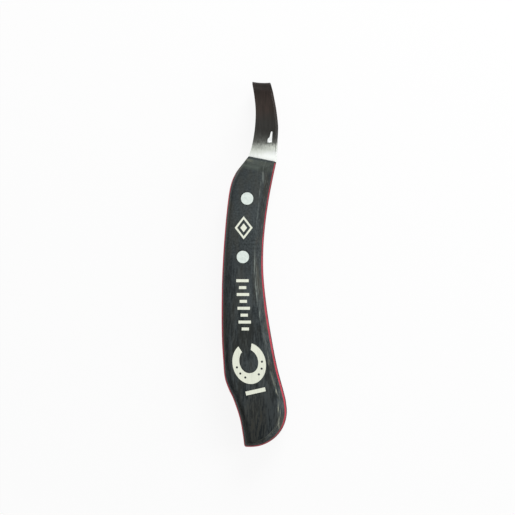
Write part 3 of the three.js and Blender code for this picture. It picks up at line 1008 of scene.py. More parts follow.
@dataclass(frozen=True)
class Veneer:
    """A dyed veneer seen on its sanded edge, with painted light by side, a painted shadow along the handle's
    front, darker at its front left corner and in stained patches, and faded at its butt.

    Stops have their places in shares of the handle's length, but those of the sides, the front shadow and the
    corner in mm.
    """

    name: str
    dark: Colour
    light: Colour
    # The dark colour of the stained patches and of the painted shadow along the front.
    stain_and_shadow: Colour = (0.035, 0.030, 0.026)
    faded: Colour = (0.14, 0.085, 0.075)
    wood_dark: Colour = (0.030, 0.034, 0.034)
    wood_light: Colour = (0.052, 0.056, 0.054)
    roughness: float = 0.83
    gloss_swing: float = -0.15
    relief: Pair = (0.35, 0.04)
    fibre_tone: Stops = ((0.35, 0.0), (0.65, 1.0))
    right_side: Stops = ((7.2, 0.0), (16.8, 1.0))
    side_span: Pair = (0.0, 24.0)
    # Painted light by side: the left veneer is painted lighter, and the right one at a lower level that
    # changes along its length.
    left_painted_light: Colour = (1.3, 1.3, 1.3)
    right_painted_light: Stops = ((0.22, 0.68), (0.29, 0.95), (0.39, 0.88), (0.45, 0.68))
    top: float = 3.8
    red_rise: Stops = ((0.0, 0.68), (0.28, 0.66), (0.38, 0.74), (0.50, 0.88), (0.54, 1.0))
    fray: float = 0.06
    wood_edge: Stops = ((0.0, 0.0), (0.03, 1.0))
    right_faded: Stops = ((0.9, 0.0), (0.95, 0.45))
    butt_faded: Stops = ((0.968, 0.0), (0.985, 0.4))
    # Painted shadow along the front edge, under the steel, and a darker front left corner.
    front_painted_shadow: Stops = ((0.3, 1.0), (0.6, 0.0))
    corner_left_side: Stops = ((-2.0, 1.0), (2.0, 0.0))
    corner_left_span: Pair = (-2.0, 2.0)
    corner_darkening: Stops = ((9.6, 0.95), (17.0, 0.0))
    corner_span: Pair = (0.0, 20.0)
    patches: Pattern = Pattern((60.0, 110.0, 200.0), shift=7.7, stops=((0.5, 0.0), (0.66, 0.4)))

    def _wood(self, nodes: Nodes, fibre: Socket, right: Socket) -> Socket:
        """The share on the right where the wood above has been sanded over the veneer.

        Args:
            nodes: The material's nodes.
            fibre: The fibre's value.
            right: The share of the right side.

        Returns:
            The share's socket.
        """
        above = nodes.less(nodes.over(nodes.height, self.top), nodes.ramp(nodes.along, self.red_rise))
        above = nodes.ramp(nodes.scaled(nodes.centred(fibre), self.fray, above), self.wood_edge)
        return nodes.times(above, right)

    def _stain_and_shadow(self, nodes: Nodes) -> Socket:
        """The share of the dark colour: a painted shadow along the front, darker at its front left corner,
        and stained patches.

        Args:
            nodes: The material's nodes.

        Returns:
            The share's socket.
        """
        corner = nodes.times(
            nodes.ramp(nodes.axis("X"), self.corner_left_side, self.corner_left_span),
            nodes.ramp(nodes.behind, self.corner_darkening, self.corner_span),
        )
        return nodes.largest(nodes.ramp(nodes.behind, self.front_painted_shadow), corner, nodes.noise(self.patches))

    def make(self) -> Material:
        """Makes the material.

        Returns:
            The material.
        """
        nodes = Nodes(self.name)
        fibre = nodes.noise(VENEER_FIBRE)
        tone = nodes.ramp(fibre, self.fibre_tone)
        right = nodes.ramp(nodes.from_left, self.right_side, self.side_span)
        # Painted light: the veneer lighter on the left side, and set along its length on the right.
        side_painted_light = nodes.mix(right, self.left_painted_light, nodes.ramp(nodes.along, self.right_painted_light))
        colour = nodes.mix(1.0, nodes.mix(tone, self.dark, self.light), side_painted_light, Blend.SHADE)
        wood = nodes.mix(tone, self.wood_dark, self.wood_light)
        colour = nodes.mix(self._wood(nodes, fibre, right), colour, wood)
        faded = nodes.times(nodes.ramp(nodes.along, self.right_faded), right)
        faded = nodes.largest(faded, nodes.ramp(nodes.along, self.butt_faded))
        colour = nodes.mix(faded, colour, self.faded)
        # Lays the painted front shadow, the darker corner and the stained patches.
        colour = nodes.mix(self._stain_and_shadow(nodes), colour, self.stain_and_shadow)
        gloss = nodes.scaled(fibre, self.gloss_swing, self.roughness)
        nodes.dress(colour, gloss, MATT, fibre, self.relief)
        return nodes.material


@dataclass(frozen=True)
class StripSteel:
    """Brushed strip steel: a dark loop, partly its temper colour and partly a painted dark reflection, that
    fades to bright ground metal at the handle, with painted shade across the strip and along the loop.

    The fade runs along Y from start to end, and the shades across X from left to right, all in mm.
    """

    name: str
    start: float
    end: float
    left: float
    right: float
    # The dark loop colours: partly temper colour and partly a painted dark reflection.
    tempered_and_painted_reflection: Colour = (0.0235, 0.0190, 0.0162)
    brown: Colour = (0.0335, 0.0245, 0.0215)
    neutral: Colour = (0.0262, 0.0254, 0.0234)
    level: float = 1.42
    ground: Colour = (0.845, 0.875, 0.845)
    haze: Colour = (0.93, 0.98, 0.89)
    gloss: Pair = (0.16, 0.38)
    specular: float = 0.08
    relief: Pair = (0.3, 0.012)
    brush: Pattern = Pattern((2400.0, 60.0, 2400.0), detail=4.0, roughness=0.6)
    brushed: Stops = ((0.3, 0.82), (0.7, 1.18))
    band: Pattern = Pattern((380.0, 60.0, 380.0), roughness=0.6, shift=2.9, stops=((0.42, 0.0), (0.6, 1.0)))
    fray: Pattern = Pattern((1500.0, 45.0, 1500.0), detail=2.0, shift=6.1)
    fray_share: float = 0.3
    fade_middle: float = 0.44
    steeper: Stops = ((0.35, 0.0), (1.0, 0.45))
    bright: Stops = (
        (0.0, 1.0), (0.12, 0.98), (0.18, 0.92), (0.28, 0.82), (0.33, 0.72), (0.38, 0.62), (0.44, 0.42),
        (0.50, 0.25), (0.58, 0.12), (0.70, 0.055), (0.86, 0.015), (1.0, 0.0),
    )
    bare: Stops = ((0.02, 0.0), (0.3, 1.0))
    loop_span: Pair = (0.0, 2.5)
    warm_loop: Stops = ((1.15, 0.0), (1.6, 1.0))
    # Painted shade: darker towards the tip of the loop and towards the strip's right side.
    loop_shade: Stops = ((1.25, 1.0), (1.5, 1.12), (1.8, 1.05), (2.1, 0.72), (2.325, 0.42))
    side_shade: Stops = ((0.1, 1.0), (0.9, 0.82))
    hazy: Stops = ((0.12, 0.0), (0.3, 1.0))
    # Painted shade on the bright steel: darker at both edges, most at the right edge.
    edge_painted_shade: Stops = ((0.0, 0.80), (0.35, 0.86), (0.7, 1.0), (0.95, 1.0), (0.985, 0.84), (1.0, 0.42))
    edge_shade_shown: Stops = ((0.10, 0.2), (0.20, 1.0))

    def _fade(self, nodes: Nodes, along: Socket, across: Socket) -> Socket:
        """How far the fade to the dark steel, its temper colour with a painted dark reflection, has come,
        frayed, and steeper on the right.

        Args:
            nodes: The material's nodes.
            along: The share of the fade's length.
            across: The share of the strip's width.

        Returns:
            The fade's socket.
        """
        steep = nodes.math(Sum.ADD, nodes.ramp(across, self.steeper), 1.0)
        fade = nodes.scaled(nodes.less(along, self.fade_middle), steep, self.fade_middle)
        return nodes.scaled(nodes.centred(nodes.noise(self.fray)), self.fray_share, fade)

    def make(self) -> Material:
        """Makes the material.

        Returns:
            The material.
        """
        nodes = Nodes(self.name)
        brush = nodes.noise(self.brush)
        along = nodes.over(nodes.less(nodes.axis("Y"), self.start), self.end - self.start)
        across = nodes.over(nodes.less(nodes.axis("X"), self.left), self.right - self.left)
        fade = self._fade(nodes, along, across)
        bright = nodes.ramp(fade, self.bright)
        # The dark loop colour, partly temper colour and partly a painted dark reflection.
        warm = nodes.mix(nodes.noise(self.band), self.tempered_and_painted_reflection, self.brown)
        dark = nodes.mix(nodes.ramp(along, self.warm_loop, self.loop_span), self.neutral, warm)
        shade = nodes.times(
            nodes.ramp(across, self.side_shade),
            nodes.ramp(along, self.loop_shade, self.loop_span),
            nodes.ramp(brush, self.brushed),
            self.level,
        )
        dark = nodes.mix(1.0, dark, shade, Blend.SHADE)
        pale = nodes.mix(nodes.ramp(fade, self.hazy), self.ground, self.haze)
        # Painted shade on the strip's edges in the bright part.
        worn = nodes.mix(1.0, pale, nodes.ramp(across, self.edge_painted_shade), Blend.SHADE)
        pale = nodes.mix(nodes.ramp(fade, self.edge_shade_shown), pale, worn)
        nodes.link(nodes.ramp(bright, self.bare), nodes.shader.inputs["Metallic"])
        gloss = nodes.scaled(brush, *self.gloss)
        nodes.dress(nodes.mix(bright, dark, pale), gloss, self.specular, brush, self.relief)
        return nodes.material


@dataclass(frozen=True)
class GroundMetal:
    """Bare metal with the fine marks of a grinding belt."""

    name: str
    colour: Colour
    shade: Colour
    roughness: float
    grit: Pattern = Pattern((1500.0, 2400.0, 900.0), detail=4.0, roughness=0.6)
    cloud: Pattern = Pattern((700.0, 700.0, 700.0), detail=2.0, shift=4.4)
    tone: Stops = ((0.38, 0.0), (0.6, 1.0))
    gloss_swing: float = 0.2
    specular: float = 0.5
    relief: Pair = (0.25, 0.015)

    def make(self) -> Material:
        """Makes the material.

        Returns:
            The material.
        """
        nodes = Nodes(self.name)
        marks = nodes.noise(self.grit)
        share = nodes.scaled(nodes.noise(self.cloud), 0.5, nodes.times(marks, 0.5))
        colour = nodes.mix(nodes.ramp(share, self.tone), self.shade, self.colour)
        nodes.shader.inputs["Metallic"].default_value = 1.0
        gloss = nodes.scaled(marks, self.gloss_swing, self.roughness - self.gloss_swing / 2)
        nodes.dress(colour, gloss, self.specular, marks, self.relief)
        return nodes.material


@dataclass(frozen=True)
class PrintInk:
    """Cream ink printed on the wood, a little thin over the grain."""

    name: str
    cream: Colour = (0.87, 0.90, 0.76)
    thin: Colour = (0.72, 0.75, 0.64)
    fibre: Pattern = Pattern((2600.0, 110.0, 900.0), detail=4.0, roughness=0.62)
    thinned: Stops = ((0.3, 0.0), (0.5, 1.0))
    roughness: float = 0.55
    specular: float = 0.3
    relief: Pair = (0.3, 0.03)

    def make(self) -> Material:
        """Makes the material.

        Returns:
            The material.
        """
        nodes = Nodes(self.name)
        fibre = nodes.noise(self.fibre)
        colour = nodes.mix(nodes.ramp(fibre, self.thinned), self.thin, self.cream)
        nodes.dress(colour, self.roughness, self.specular, fibre, self.relief)
        return nodes.material


class Finish(Enum):
    """The finishes of the knife."""

    BLACK_WOOD = Laminate(
        "black_laminate",
        dark=(0.0240, 0.0305, 0.0325),
        light=(0.080, 0.094, 0.097),
        warm=(0.072, 0.069, 0.053),
        dye=(0.42, 0.060, 0.080),
    )
    CORE_WOOD = Laminate(
        "core_laminate",
        dark=(0.012, 0.012, 0.013),
        light=(0.036, 0.036, 0.037),
        warm=(0.030, 0.026, 0.020),
        line_share=0.3,
        dye_share=0.7,
    )
    RED_VENEER = Veneer("red_veneer", dark=(0.46, 0.050, 0.074), light=(0.72, 0.100, 0.135))
    STRIP_STEEL = StripSteel("strip_steel", start=57.5, end=74.5, left=-1.5, right=12.2)
    GROUND_STEEL = GroundMetal(
        "ground_steel",
        colour=(0.91, 0.93, 0.92),
        shade=(0.82, 0.84, 0.83),
        roughness=0.4,
        grit=Pattern((2600.0, 300.0, 2600.0), detail=4.0, roughness=0.6),
    )
    RIVET_METAL = GroundMetal(
        "rivet_aluminium", colour=(0.67, 0.735, 0.69), shade=(0.56, 0.62, 0.585), roughness=0.5
    )
    # Painted shade: the chamfer round each rivet head in a dark colour, in place of its bright reflection.
    RIVET_RIM_SHADE = GroundMetal(
        "rivet_rim_shade", colour=(0.10, 0.11, 0.105), shade=(0.05, 0.055, 0.05), roughness=0.6
    )
    INK = PrintInk("cream_ink")

    @cached_property
    def material(self) -> Material:
        """The finish's material, made when it is first asked for."""
        return self.value.make()


# ------------------------------------------------------------------ handle


@dataclass
class Wall:
    """How the handle's walls lean in and round over, above and below the core."""

    core_top: float = 1.8
    liner_top: float = 3.6
    face: float = HALF_HEIGHT
    lean: float = math.radians(20)
    front_lean: float = math.radians(35)
    radius: float = 1.8
    straight_samples: int = 4
    round_samples: int = 14
    clear_of_round: float = 0.1
    clear_of_low: float = 0.02
    least_step: float = 2e-3

    def _round_base(self, lean: float) -> float:
        """The height at which a leaning wall starts to round over."""
        return self.face - self.radius * (1 - math.sin(lean))

    def inset(self, height: float, base: float, lean: float) -> float:
        """How far a wall that leans in from a base has drawn in at a height.

        Args:
            height: The height above the middle plane, in mm.
            base: The height that the wall leans from.
            lean: Its angle.

        Returns:
            The inset in mm.
        """
        top = self._round_base(lean)
        leaning = max(min(height, top) - base, 0.0) * math.tan(lean)
        if height <= top:
            return leaning
        sine = math.sin(lean) + (height - top) / self.radius
        return leaning + self.radius * (math.cos(lean) - math.sqrt(max(0.0, 1 - sine * sine)))

    def heights(self, low: float, high: float) -> list[float]:
        """The heights of the rings between a layer's two faces.

        Args:
            low: The height of the lower face.
            high: The height of the upper one.

        Returns:
            The heights, with those of both faces.
        """
        steps = spread(low, high, self.straight_samples)
        for lean in (self.lean, self.front_lean):
            base = self._round_base(lean)
            steps = [h for h in steps if h < base - self.clear_of_round or h == high] + [
                base + self.radius * (math.sin(angle) - math.sin(lean))
                for angle in spread(lean, math.pi / 2, self.round_samples)
            ]
        inner = sorted(h for h in steps if low + self.clear_of_low < h < high - self.least_step)
        kept = [h for h, before in zip(inner, [low, *inner]) if h - before > self.least_step]
        return [low, *kept, high]


@dataclass
class WayIn:
    """How a point of the handle's outline moves when the walls beside it are drawn in by 1 mm."""

    wall: Vector
    front: Vector
    lean: float


@dataclass
class Plan:
    """The handle's outline in plan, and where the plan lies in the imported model."""

    wall: Wall
    length: float = HANDLE_LENGTH
    front_slant: float = FRONT_SLANT
    front_lip: float = 0.45
    butt_radius: float = 19.5
    butt_centre_x: float = -6.2
    butt_arc_end: float = math.radians(8)
    heel_radius: float = 1.8
    front_corner_radius: float = 0.6
    least_corner_radius: float = 0.3
    most_setback: float = 0.9
    corner_reach: float = 10.0
    lean_run_in: float = 12.0
    left_stations: Points = LEFT_EDGE
    right_stations: Points = RIGHT_EDGE
    edge_samples: int = 120
    butt_samples: int = 36
    corner_samples: int = 8
    width_samples: int = 400

    def __post_init__(self) -> None:
        """Draws the edges, and finds the plan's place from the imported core."""
        centre = (self.butt_centre_x, self.butt_radius - self.length)
        self.butt = arc(centre, self.butt_radius, -math.pi / 2, self.butt_arc_end, self.butt_samples)
        arc_x, arc_y = self.butt[-1]
        self.left = EdgeCurve(self.left_stations, -self.length)
        self.right = EdgeCurve([*self.right_stations, (-arc_y / self.length, arc_x)], -self.length)
        self.points, self.corners = self._outline()
        self.ways_in = self._ways_in()
        low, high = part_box("handle_core")
        left_most = min(self.left.x_at(y) for y in spread(0, -self.length, self.width_samples))
        self.offset = Vector(
            (low.x / MM - left_most, low.y / MM + self.length, (low.z + high.z) / 2 / MM)
        )

    def middle(self, y: float) -> float:
        """X of the middle of the handle at a distance."""
        return (self.left.x_at(y) + self.right.x_at(y)) / 2

    def _outline(self) -> tuple[list[Vector], dict[int, float]]:
        """The outline on the middle plane, from the front left corner round the butt.

        Returns:
            Its points, and the radius of each corner by the number of its point.
        """
        front_left = crossing(self.left.x_at, 0, self.front_slant)
        front_right = crossing(self.right.x_at, 0, self.front_slant)
        left = [(self.left.x_at(y), y) for y in spread(front_left[1], -self.length, self.edge_samples)]
        arc_y = self.butt[-1][1]
        right = [(self.right.x_at(y), y) for y in spread(arc_y, front_right[1], self.edge_samples)][1:]
        points = [Vector(p) for p in [*left, *self.butt, *right]]
        corners = {
            0: self.front_corner_radius,
            len(left) - 1: self.heel_radius,
            len(points) - 1: self.front_corner_radius,
        }
        return points, corners

    @staticmethod
    def _turn(points: Sequence[Vector], index: int) -> tuple[Vector, Vector, float]:
        """How a ring turns at a point.

        Args:
            points: The ring's points.
            index: The number of the point.

        Returns:
            The directions in which the ring arrives and leaves, and the angle between them.
        """
        arriving = (points[index] - points[index - 1]).normalized()
        leaving = (points[(index + 1) % len(points)] - points[index]).normalized()
        cross = arriving.x * leaving.y - arriving.y * leaving.x
        return arriving, leaving, math.atan2(cross, arriving.dot(leaving))

    def _ways_in(self) -> list[WayIn]:
        """How the outline moves when the walls are drawn in.

        Returns:
            The way of each of its points.
        """
        along = [0.0]
        for before, after in zip(self.points, self.points[1:]):
            along.append(along[-1] + (after - before).length)
        front_corners = (0, len(self.points) - 1)
        ways = []
        for i in range(len(self.points)):
            arriving, leaving, _ = self._turn(self.points, i)
            tangent = (arriving + leaving).normalized()
            if i in self.corners:
                tangent = leaving if i == 0 else arriving
            wall, front = Vector((-tangent.y, tangent.x)), Vector((0.0, 0.0))
            for corner in self.corners:
                turn = self._turn(self.points, corner)[2]
                side = 1 if i > corner or i == corner == 0 else -1
                slide = side * max(0.0, 1 - abs(along[i] - along[corner]) / self.corner_reach)
                if corner in front_corners:
                    wall -= tangent * slide / math.tan(turn)
                    front += tangent * slide / math.sin(turn)
                else:
                    wall += tangent * slide * math.tan(turn / 2)
            ways.append(WayIn(wall, front, smooth(along[i], 0, self.lean_run_in)))
        return ways

    def _rounded(self, ring: Sequence[Vector], index: int, radius: float) -> Ring:
        """Rounds a corner of a ring.

        Args:
            ring: The ring's points.
            index: The number of the corner.
            radius: The radius of the round, which is less where its neighbours are near.

        Returns:
            The points of the round.
        """
        arriving, leaving, turn = self._turn(ring, index)
        before = (ring[index] - ring[index - 1]).length
        after = (ring[(index + 1) % len(ring)] - ring[index]).length
        setback = min(radius * math.tan(turn / 2), self.most_setback * min(before, after))
        reach = setback / math.tan(turn / 2)
        inward = Vector((-arriving.y, arriving.x))
        centre = ring[index] - arriving * setback + inward * reach
        first = math.atan2(-inward.y, -inward.x)
        return arc(centre, reach, first, first + turn, self.corner_samples)

    def ring(self, height: float, further: float = 0.0) -> Ring:
        """The outline at a height above the middle plane.

        Args:
            height: The height, in mm.
            further: How much further in than the wall the ring lies.

        Returns:
            The ring's points, as many for every height.
        """
        wall = self.wall
        upright = wall.inset(height, wall.liner_top, wall.lean) + further
        leaning = wall.inset(height, wall.core_top, wall.lean) + further
        front = wall.inset(height, wall.liner_top, wall.front_lean) + further
        front -= self.front_lip if height >= wall.core_top else 0.0
        moved = [
            point + way.wall * (upright + (leaning - upright) * way.lean) + way.front * front
            for point, way in zip(self.points, self.ways_in)
        ]
        result: Ring = []
        for i, point in enumerate(moved):
            if i in self.corners:
                radius = max(self.corners[i] - leaning, self.least_corner_radius)
                result.extend(self._rounded(moved, i, radius))
            else:
                result.append((point.x, point.y))
        return result


@dataclass
class Rivet:
    """A cutler's rivet: a female half from the upper face and a male half from the lower one."""

    name: str
    plan: Plan
    setback: float
    shift: float
    head_radius: float = 3.55
    head_thickness: float = 1.6
    barrel_radius: float = 2.5
    pin_radius: float = 1.6
    hole_clearance: float = 0.1
    seat_bevel: float = 0.08
    pin_clearance: float = 0.05
    end_gap: float = 0.3
    chamfer: float = 0.18
    sharp_angle: float = 30.0

    @property
    def centre(self) -> Point2:
        """Where the rivet stands in plan."""
        return self.plan.middle(-self.setback) + self.shift, -self.setback

    @property
    def hole_radius(self) -> float:
        """The radius of the hole that the barrel passes through."""
        return self.barrel_radius + self.hole_clearance

    def hole(self, low: float, high: float, seated: bool) -> Ring:
        """The profile of the rivet's hole through a layer.

        Args:
            low: The layer's lower height.
            high: Its upper height.
            seated: Whether a head sits in the layer's upper face.

        Returns:
            Pairs of a radius and a height, from below.
        """
        if not seated:
            return [(self.hole_radius, low), (self.hole_radius, high)]
        seat = self.head_radius + self.hole_clearance
        floor = high - self.head_thickness - self.hole_clearance
        rim = [(seat, high - self.seat_bevel), (seat + self.seat_bevel, high)]
        return [(self.hole_radius, low), (self.hole_radius, floor), (seat, floor), *rim]

    def _turned(self, name: str, profile: Points) -> Object:
        """A turned piece on the rivet's axis, with the chamfer round its head painted dark as shade.

        Args:
            name: The piece's name.
            profile: Pairs of a radius and a height, from the axis round to the axis.

        Returns:
            The piece.
        """
        maker = MeshMaker(name, self.plan.offset)
        rings = [maker.add_ring(circle(self.centre, radius), height) for radius, height in profile[1:-1]]
        for (r0, z0), (r1, z1), low, high in zip(profile[1:], profile[2:], rings, rings[1:]):
            # The head's sloping chamfer takes the painted shade finish.
            maker.bridge(low, high, finish=int(r0 != r1 and z0 != z1))
        maker.fan(rings[0][::-1], Vector((*self.centre, profile[0][1])))
        maker.fan(rings[-1], Vector((*self.centre, profile[-1][1])))
        return maker.build([Finish.RIVET_METAL, Finish.RIVET_RIM_SHADE], self.sharp_angle)

    def build(self) -> list[Object]:
        """Builds both halves.

        Returns:
            The barrel and the pin.
        """
        face, head, cut = self.plan.wall.face, self.head_radius, self.chamfer
        under = face - self.head_thickness
        bore = self.pin_radius + self.pin_clearance
        end = -under + self.end_gap
        barrel_profile = (
            (0, under), (bore, under), (bore, end), (self.barrel_radius, end), (self.barrel_radius, under),
            (head, under), (head, face - cut), (head - cut, face), (0, face),
        )
        pin_profile = (
            (0, -face), (head - cut, -face), (head, -face + cut), (head, -under),
            (self.pin_radius, -under), (self.pin_radius, -end), (0, -end),
        )
        barrel = self._turned(f"{self.name}_female_half", barrel_profile)
        pin = self._turned(f"{self.name}_male_half", pin_profile)
        for piece, node in ((barrel, f"{self.name}_barrel"), (pin, f"{self.name}_pin")):
            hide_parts(node)
        return [barrel, pin]


class Side(Enum):
    """The two sides of the handle's middle plane."""

    UPPER = 1
    LOWER = -1


@dataclass
class Marks:
    """Plain printed marks on the upper face: a lozenge, a row of ticks, and a horseshoe over a bar."""

    plan: Plan
    lozenge_setback: float = 37.2
    lozenge_shift: float = 0.3
    lozenge_length: float = 12.6
    lozenge_width: float = 9.8
    lozenge_rings: tuple[float, ...] = (1.0, 0.74, 0.38)
    tick_first: float = 66.0
    tick_shift: float = 0.8
    tick_pitch: float = 3.75
    tick_count: int = 8
    tick_lengths: Pair = (6.8, 4.0)
    tick_width: float = 1.6
    shoe_setback: float = 111.0
    shoe_shift: float = 0.7
    shoe_radius: float = 9.1
    shoe_stretch: float = 1.24
    shoe_turn: float = math.radians(13)
    shoe_web: float = 4.8
    shoe_heel_web: float = 3.0
    shoe_web_taper: float = 1.5
    shoe_opening: float = math.radians(48)
    shoe_samples: int = 56
    nail_radius: float = 0.62
    nail_sides: int = 16
    nail_angles: Point3 = (34.0, 60.0, 86.0)
    bar_drop: float = 15.6
    bar_length: float = 11.0
    bar_width: float = 2.2

    def outlines(self) -> list[Ring]:
        """The outlines of all the marks, in plan. A point inside an odd number of them is printed."""
        return [*self._lozenge(), *self._ticks(), *self._horseshoe()]

    def _lozenge(self) -> list[Ring]:
        """An open lozenge with a small solid one in it, between the rivets.

        Returns:
            Its outlines.
        """
        x, y = self.plan.middle(-self.lozenge_setback) + self.lozenge_shift, -self.lozenge_setback
        rings = []
        for scale in self.lozenge_rings:
            across, along = self.lozenge_width / 2 * scale, self.lozenge_length / 2 * scale
            rings.append([(x + across, y), (x, y + along), (x - across, y), (x, y - along)])
        return rings

    def _ticks(self) -> list[Ring]:
        """A row of ticks across the handle, every other one shorter.

        Returns:
            Their outlines.
        """
        rings = []
        for i in range(self.tick_count):
            y = -self.tick_first - i * self.tick_pitch
            centre = (self.plan.middle(y) + self.tick_shift, y)
            rings.append(self._bar(centre, self.tick_lengths[i % 2], self.tick_width, 0.0))
        return rings

    @staticmethod
    def _turned(centre: Point2, x: float, y: float, turn: float) -> Point2:
        """A point given from a centre, turned about it.

        Args:
            centre: The centre.
            x: How far the point lies across from it.
            y: How far it lies along.
            turn: The turn's angle.

        Returns:
            The point.
        """
        return (
            centre[0] + x * math.cos(turn) - y * math.sin(turn),
            centre[1] + x * math.sin(turn) + y * math.cos(turn),
        )

    def _bar(self, centre: Point2, length: float, width: float, turn: float) -> Ring:
        """A bar across the handle.

        Args:
            centre: Its middle.
            length: Its length.
            width: Its width.
            turn: How far it is turned.

        Returns:
            Its corners.
        """
        corners = ((1, 1), (-1, 1), (-1, -1), (1, -1))
        return [self._turned(centre, i * length / 2, j * width / 2, turn) for i, j in corners]

    def _horseshoe(self) -> list[Ring]:
        """A plain horseshoe with its nail holes, open towards the loop, and a bar behind it.

        Returns:
            Their outlines.
        """
        centre = (self.plan.middle(-self.shoe_setback) + self.shoe_shift, -self.shoe_setback)
        first = math.pi / 2 + self.shoe_opening / 2
        sweep = 2 * math.pi - self.shoe_opening
        angles = spread(first, first + sweep, self.shoe_samples)

        def place(inset: float, angle: float) -> Point2:
            """A point of the shoe.

            Args:
                inset: The share of the web that it lies in from the outer edge.
                angle: Its angle round the shoe.

            Returns:
                The point.
            """
            share = abs((angle - first) / sweep - 0.5) * 2
            web = self.shoe_web + (self.shoe_heel_web - self.shoe_web) * share**self.shoe_web_taper
            radius = self.shoe_radius - inset * web
            across, along = radius * math.cos(angle), self.shoe_stretch * radius * math.sin(angle)
            return self._turned(centre, across, along, self.shoe_turn)

        rings = [[*[place(0.0, a) for a in angles], *[place(1.0, a) for a in reversed(angles)]]]
        for side in (-1, 1):
            for angle in self.nail_angles:
                spot = place(0.5, 1.5 * math.pi + side * math.radians(angle))
                rings.append(circle(spot, self.nail_radius, self.nail_sides))
        behind = self._turned(centre, 0.0, -self.bar_drop, self.shoe_turn)
        return [*rings, self._bar(behind, self.bar_length, self.bar_width, self.shoe_turn)]


@dataclass
class Tang:
    """The two ends of the strip inside the handle."""

    plan: Plan
    rear_setback: float
    gap: float = 0.4
    width: float = 10.4
    past_rivet: float = 11.0
    end_radius: float = 3.0
    lap: float = 1.5
    clearance: float = 0.1
    end_samples: int = 8
    samples: int = 64

    def sides(self, grown: float, ahead: float) -> tuple[Ring, Ring]:
        """The two sides of the tang's plan, between its rounded end and a slanting line.

        Args:
            grown: A clearance that the plan grows by.
            ahead: How far ahead of the handle's front edge the line lies.

        Returns:
            The right side from the end, and the left side back to it.
        """
        middle = self.plan.middle
        radius, half = self.end_radius + grown, self.width / 2 + grown
        end = -self.rear_setback - self.past_rivet - grown
        right_front, left_front = [
            crossing(lambda y, s=side: middle(y) + s * half, ahead, self.plan.front_slant)
            for side in (1, -1)
        ]
        stations = [
            (end + radius * (1 - math.cos(angle)), half - radius * (1 - math.sin(angle)))
            for angle in spread(0, math.pi / 2, self.end_samples)
        ]
        stations += [(y, half) for y in spread(end + radius, right_front[1], self.samples)[1:]]
        right = [(middle(y) + half_width, y) for y, half_width in stations]
        left = [(middle(y) - half_width, y) for y, half_width in reversed(stations)]
        return right, [left_front, *left]


@dataclass
class Handle:
    """The layered handle: scales, veneers and core, with the slot for the tang."""

    plan: Plan
    rivets: Sequence[Rivet]
    tang: Tang
    support_ring: float = 0.35

    def _layer(
        self,
        name: str,
        span: Point2,
        side: Side,
        finishes: Sequence[Finish],
        prints: Sequence[Ring] = (),
    ) -> Object:
        """Builds a layer with the rivets' holes, and the seats of their heads where it reaches the face.

        Args:
            name: The layer's name.
            span: Its lower and upper height above the middle plane, before it is mirrored.
            side: The side of the middle plane that it lies on.
            finishes: Its wood, and the ink of its prints.
            prints: The outlines that are printed on its outer face.

        Returns:
            The layer.
        """
        low, high = span
        at_face = high == self.plan.wall.face
        maker = MeshMaker(name, self.plan.offset)
        heights = self.plan.wall.heights(low, high)
        rings = [maker.add_ring(self.plan.ring(h), side.value * h) for h in heights]
        if at_face:
            rings.append(maker.add_ring(self.plan.ring(high, self.support_ring), side.value * high))
        maker.skin(rings)
        bores = []
        for rivet in self.rivets:
            profile = rivet.hole(low, high, at_face)
            bores.append([maker.add_ring(circle(rivet.centre, r), side.value * h) for r, h in profile])
            maker.skin(bores[-1], outward=False)
        maker.fill(rings[0], [bore[0] for bore in bores], up=side is Side.LOWER)
        maker.fill(rings[-1], [bore[-1] for bore in bores], prints, up=side is Side.UPPER)
        return maker.build(finishes)

    def _core(self) -> Object:
        """Builds the core, a plate with a slot from its front edge for the tang.

        Returns:
            The core.
        """
        maker = MeshMaker("core_plate", self.plan.offset)
        right, left = self.tang.sides(self.tang.clearance, 0.0)
        ring = [*self.plan.ring(0.0), *reversed(right), *reversed(left)]
        top = self.plan.wall.core_top
        low, high = maker.add_ring(ring, -top), maker.add_ring(ring, top)
        maker.bridge(low, high)
        maker.fill(low, up=False)
        maker.fill(high)
        return maker.build([Finish.CORE_WOOD])

    def build(self) -> list[Object]:
        """Builds all the layers.

        Returns:
            The layers.
        """
        wall = self.plan.wall
        pieces = []
        for side, word in ((Side.UPPER, "upper"), (Side.LOWER, "lower")):
            span = (wall.core_top, wall.liner_top)
            liner = self._layer(f"{word}_veneer", span, side, [Finish.RED_VENEER])
            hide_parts(f"{word}_liner")
            prints = Marks(self.plan).outlines() if side is Side.UPPER else []
            wood = [Finish.BLACK_WOOD, Finish.INK] if prints else [Finish.BLACK_WOOD]
            scale = self._layer(f"{word}_side", (wall.liner_top, wall.face), side, wood, prints)
            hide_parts(f"{word}_scale")
            pieces.extend([liner, scale])
        core = self._core()
        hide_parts("handle_core")
        return [*pieces, core]


# ------------------------------------------------------------------ loop


@dataclass
class Pose:
    """A place on the strip's middle line, in the plane of Y and height."""

    y: float
    z: float
    heading: float


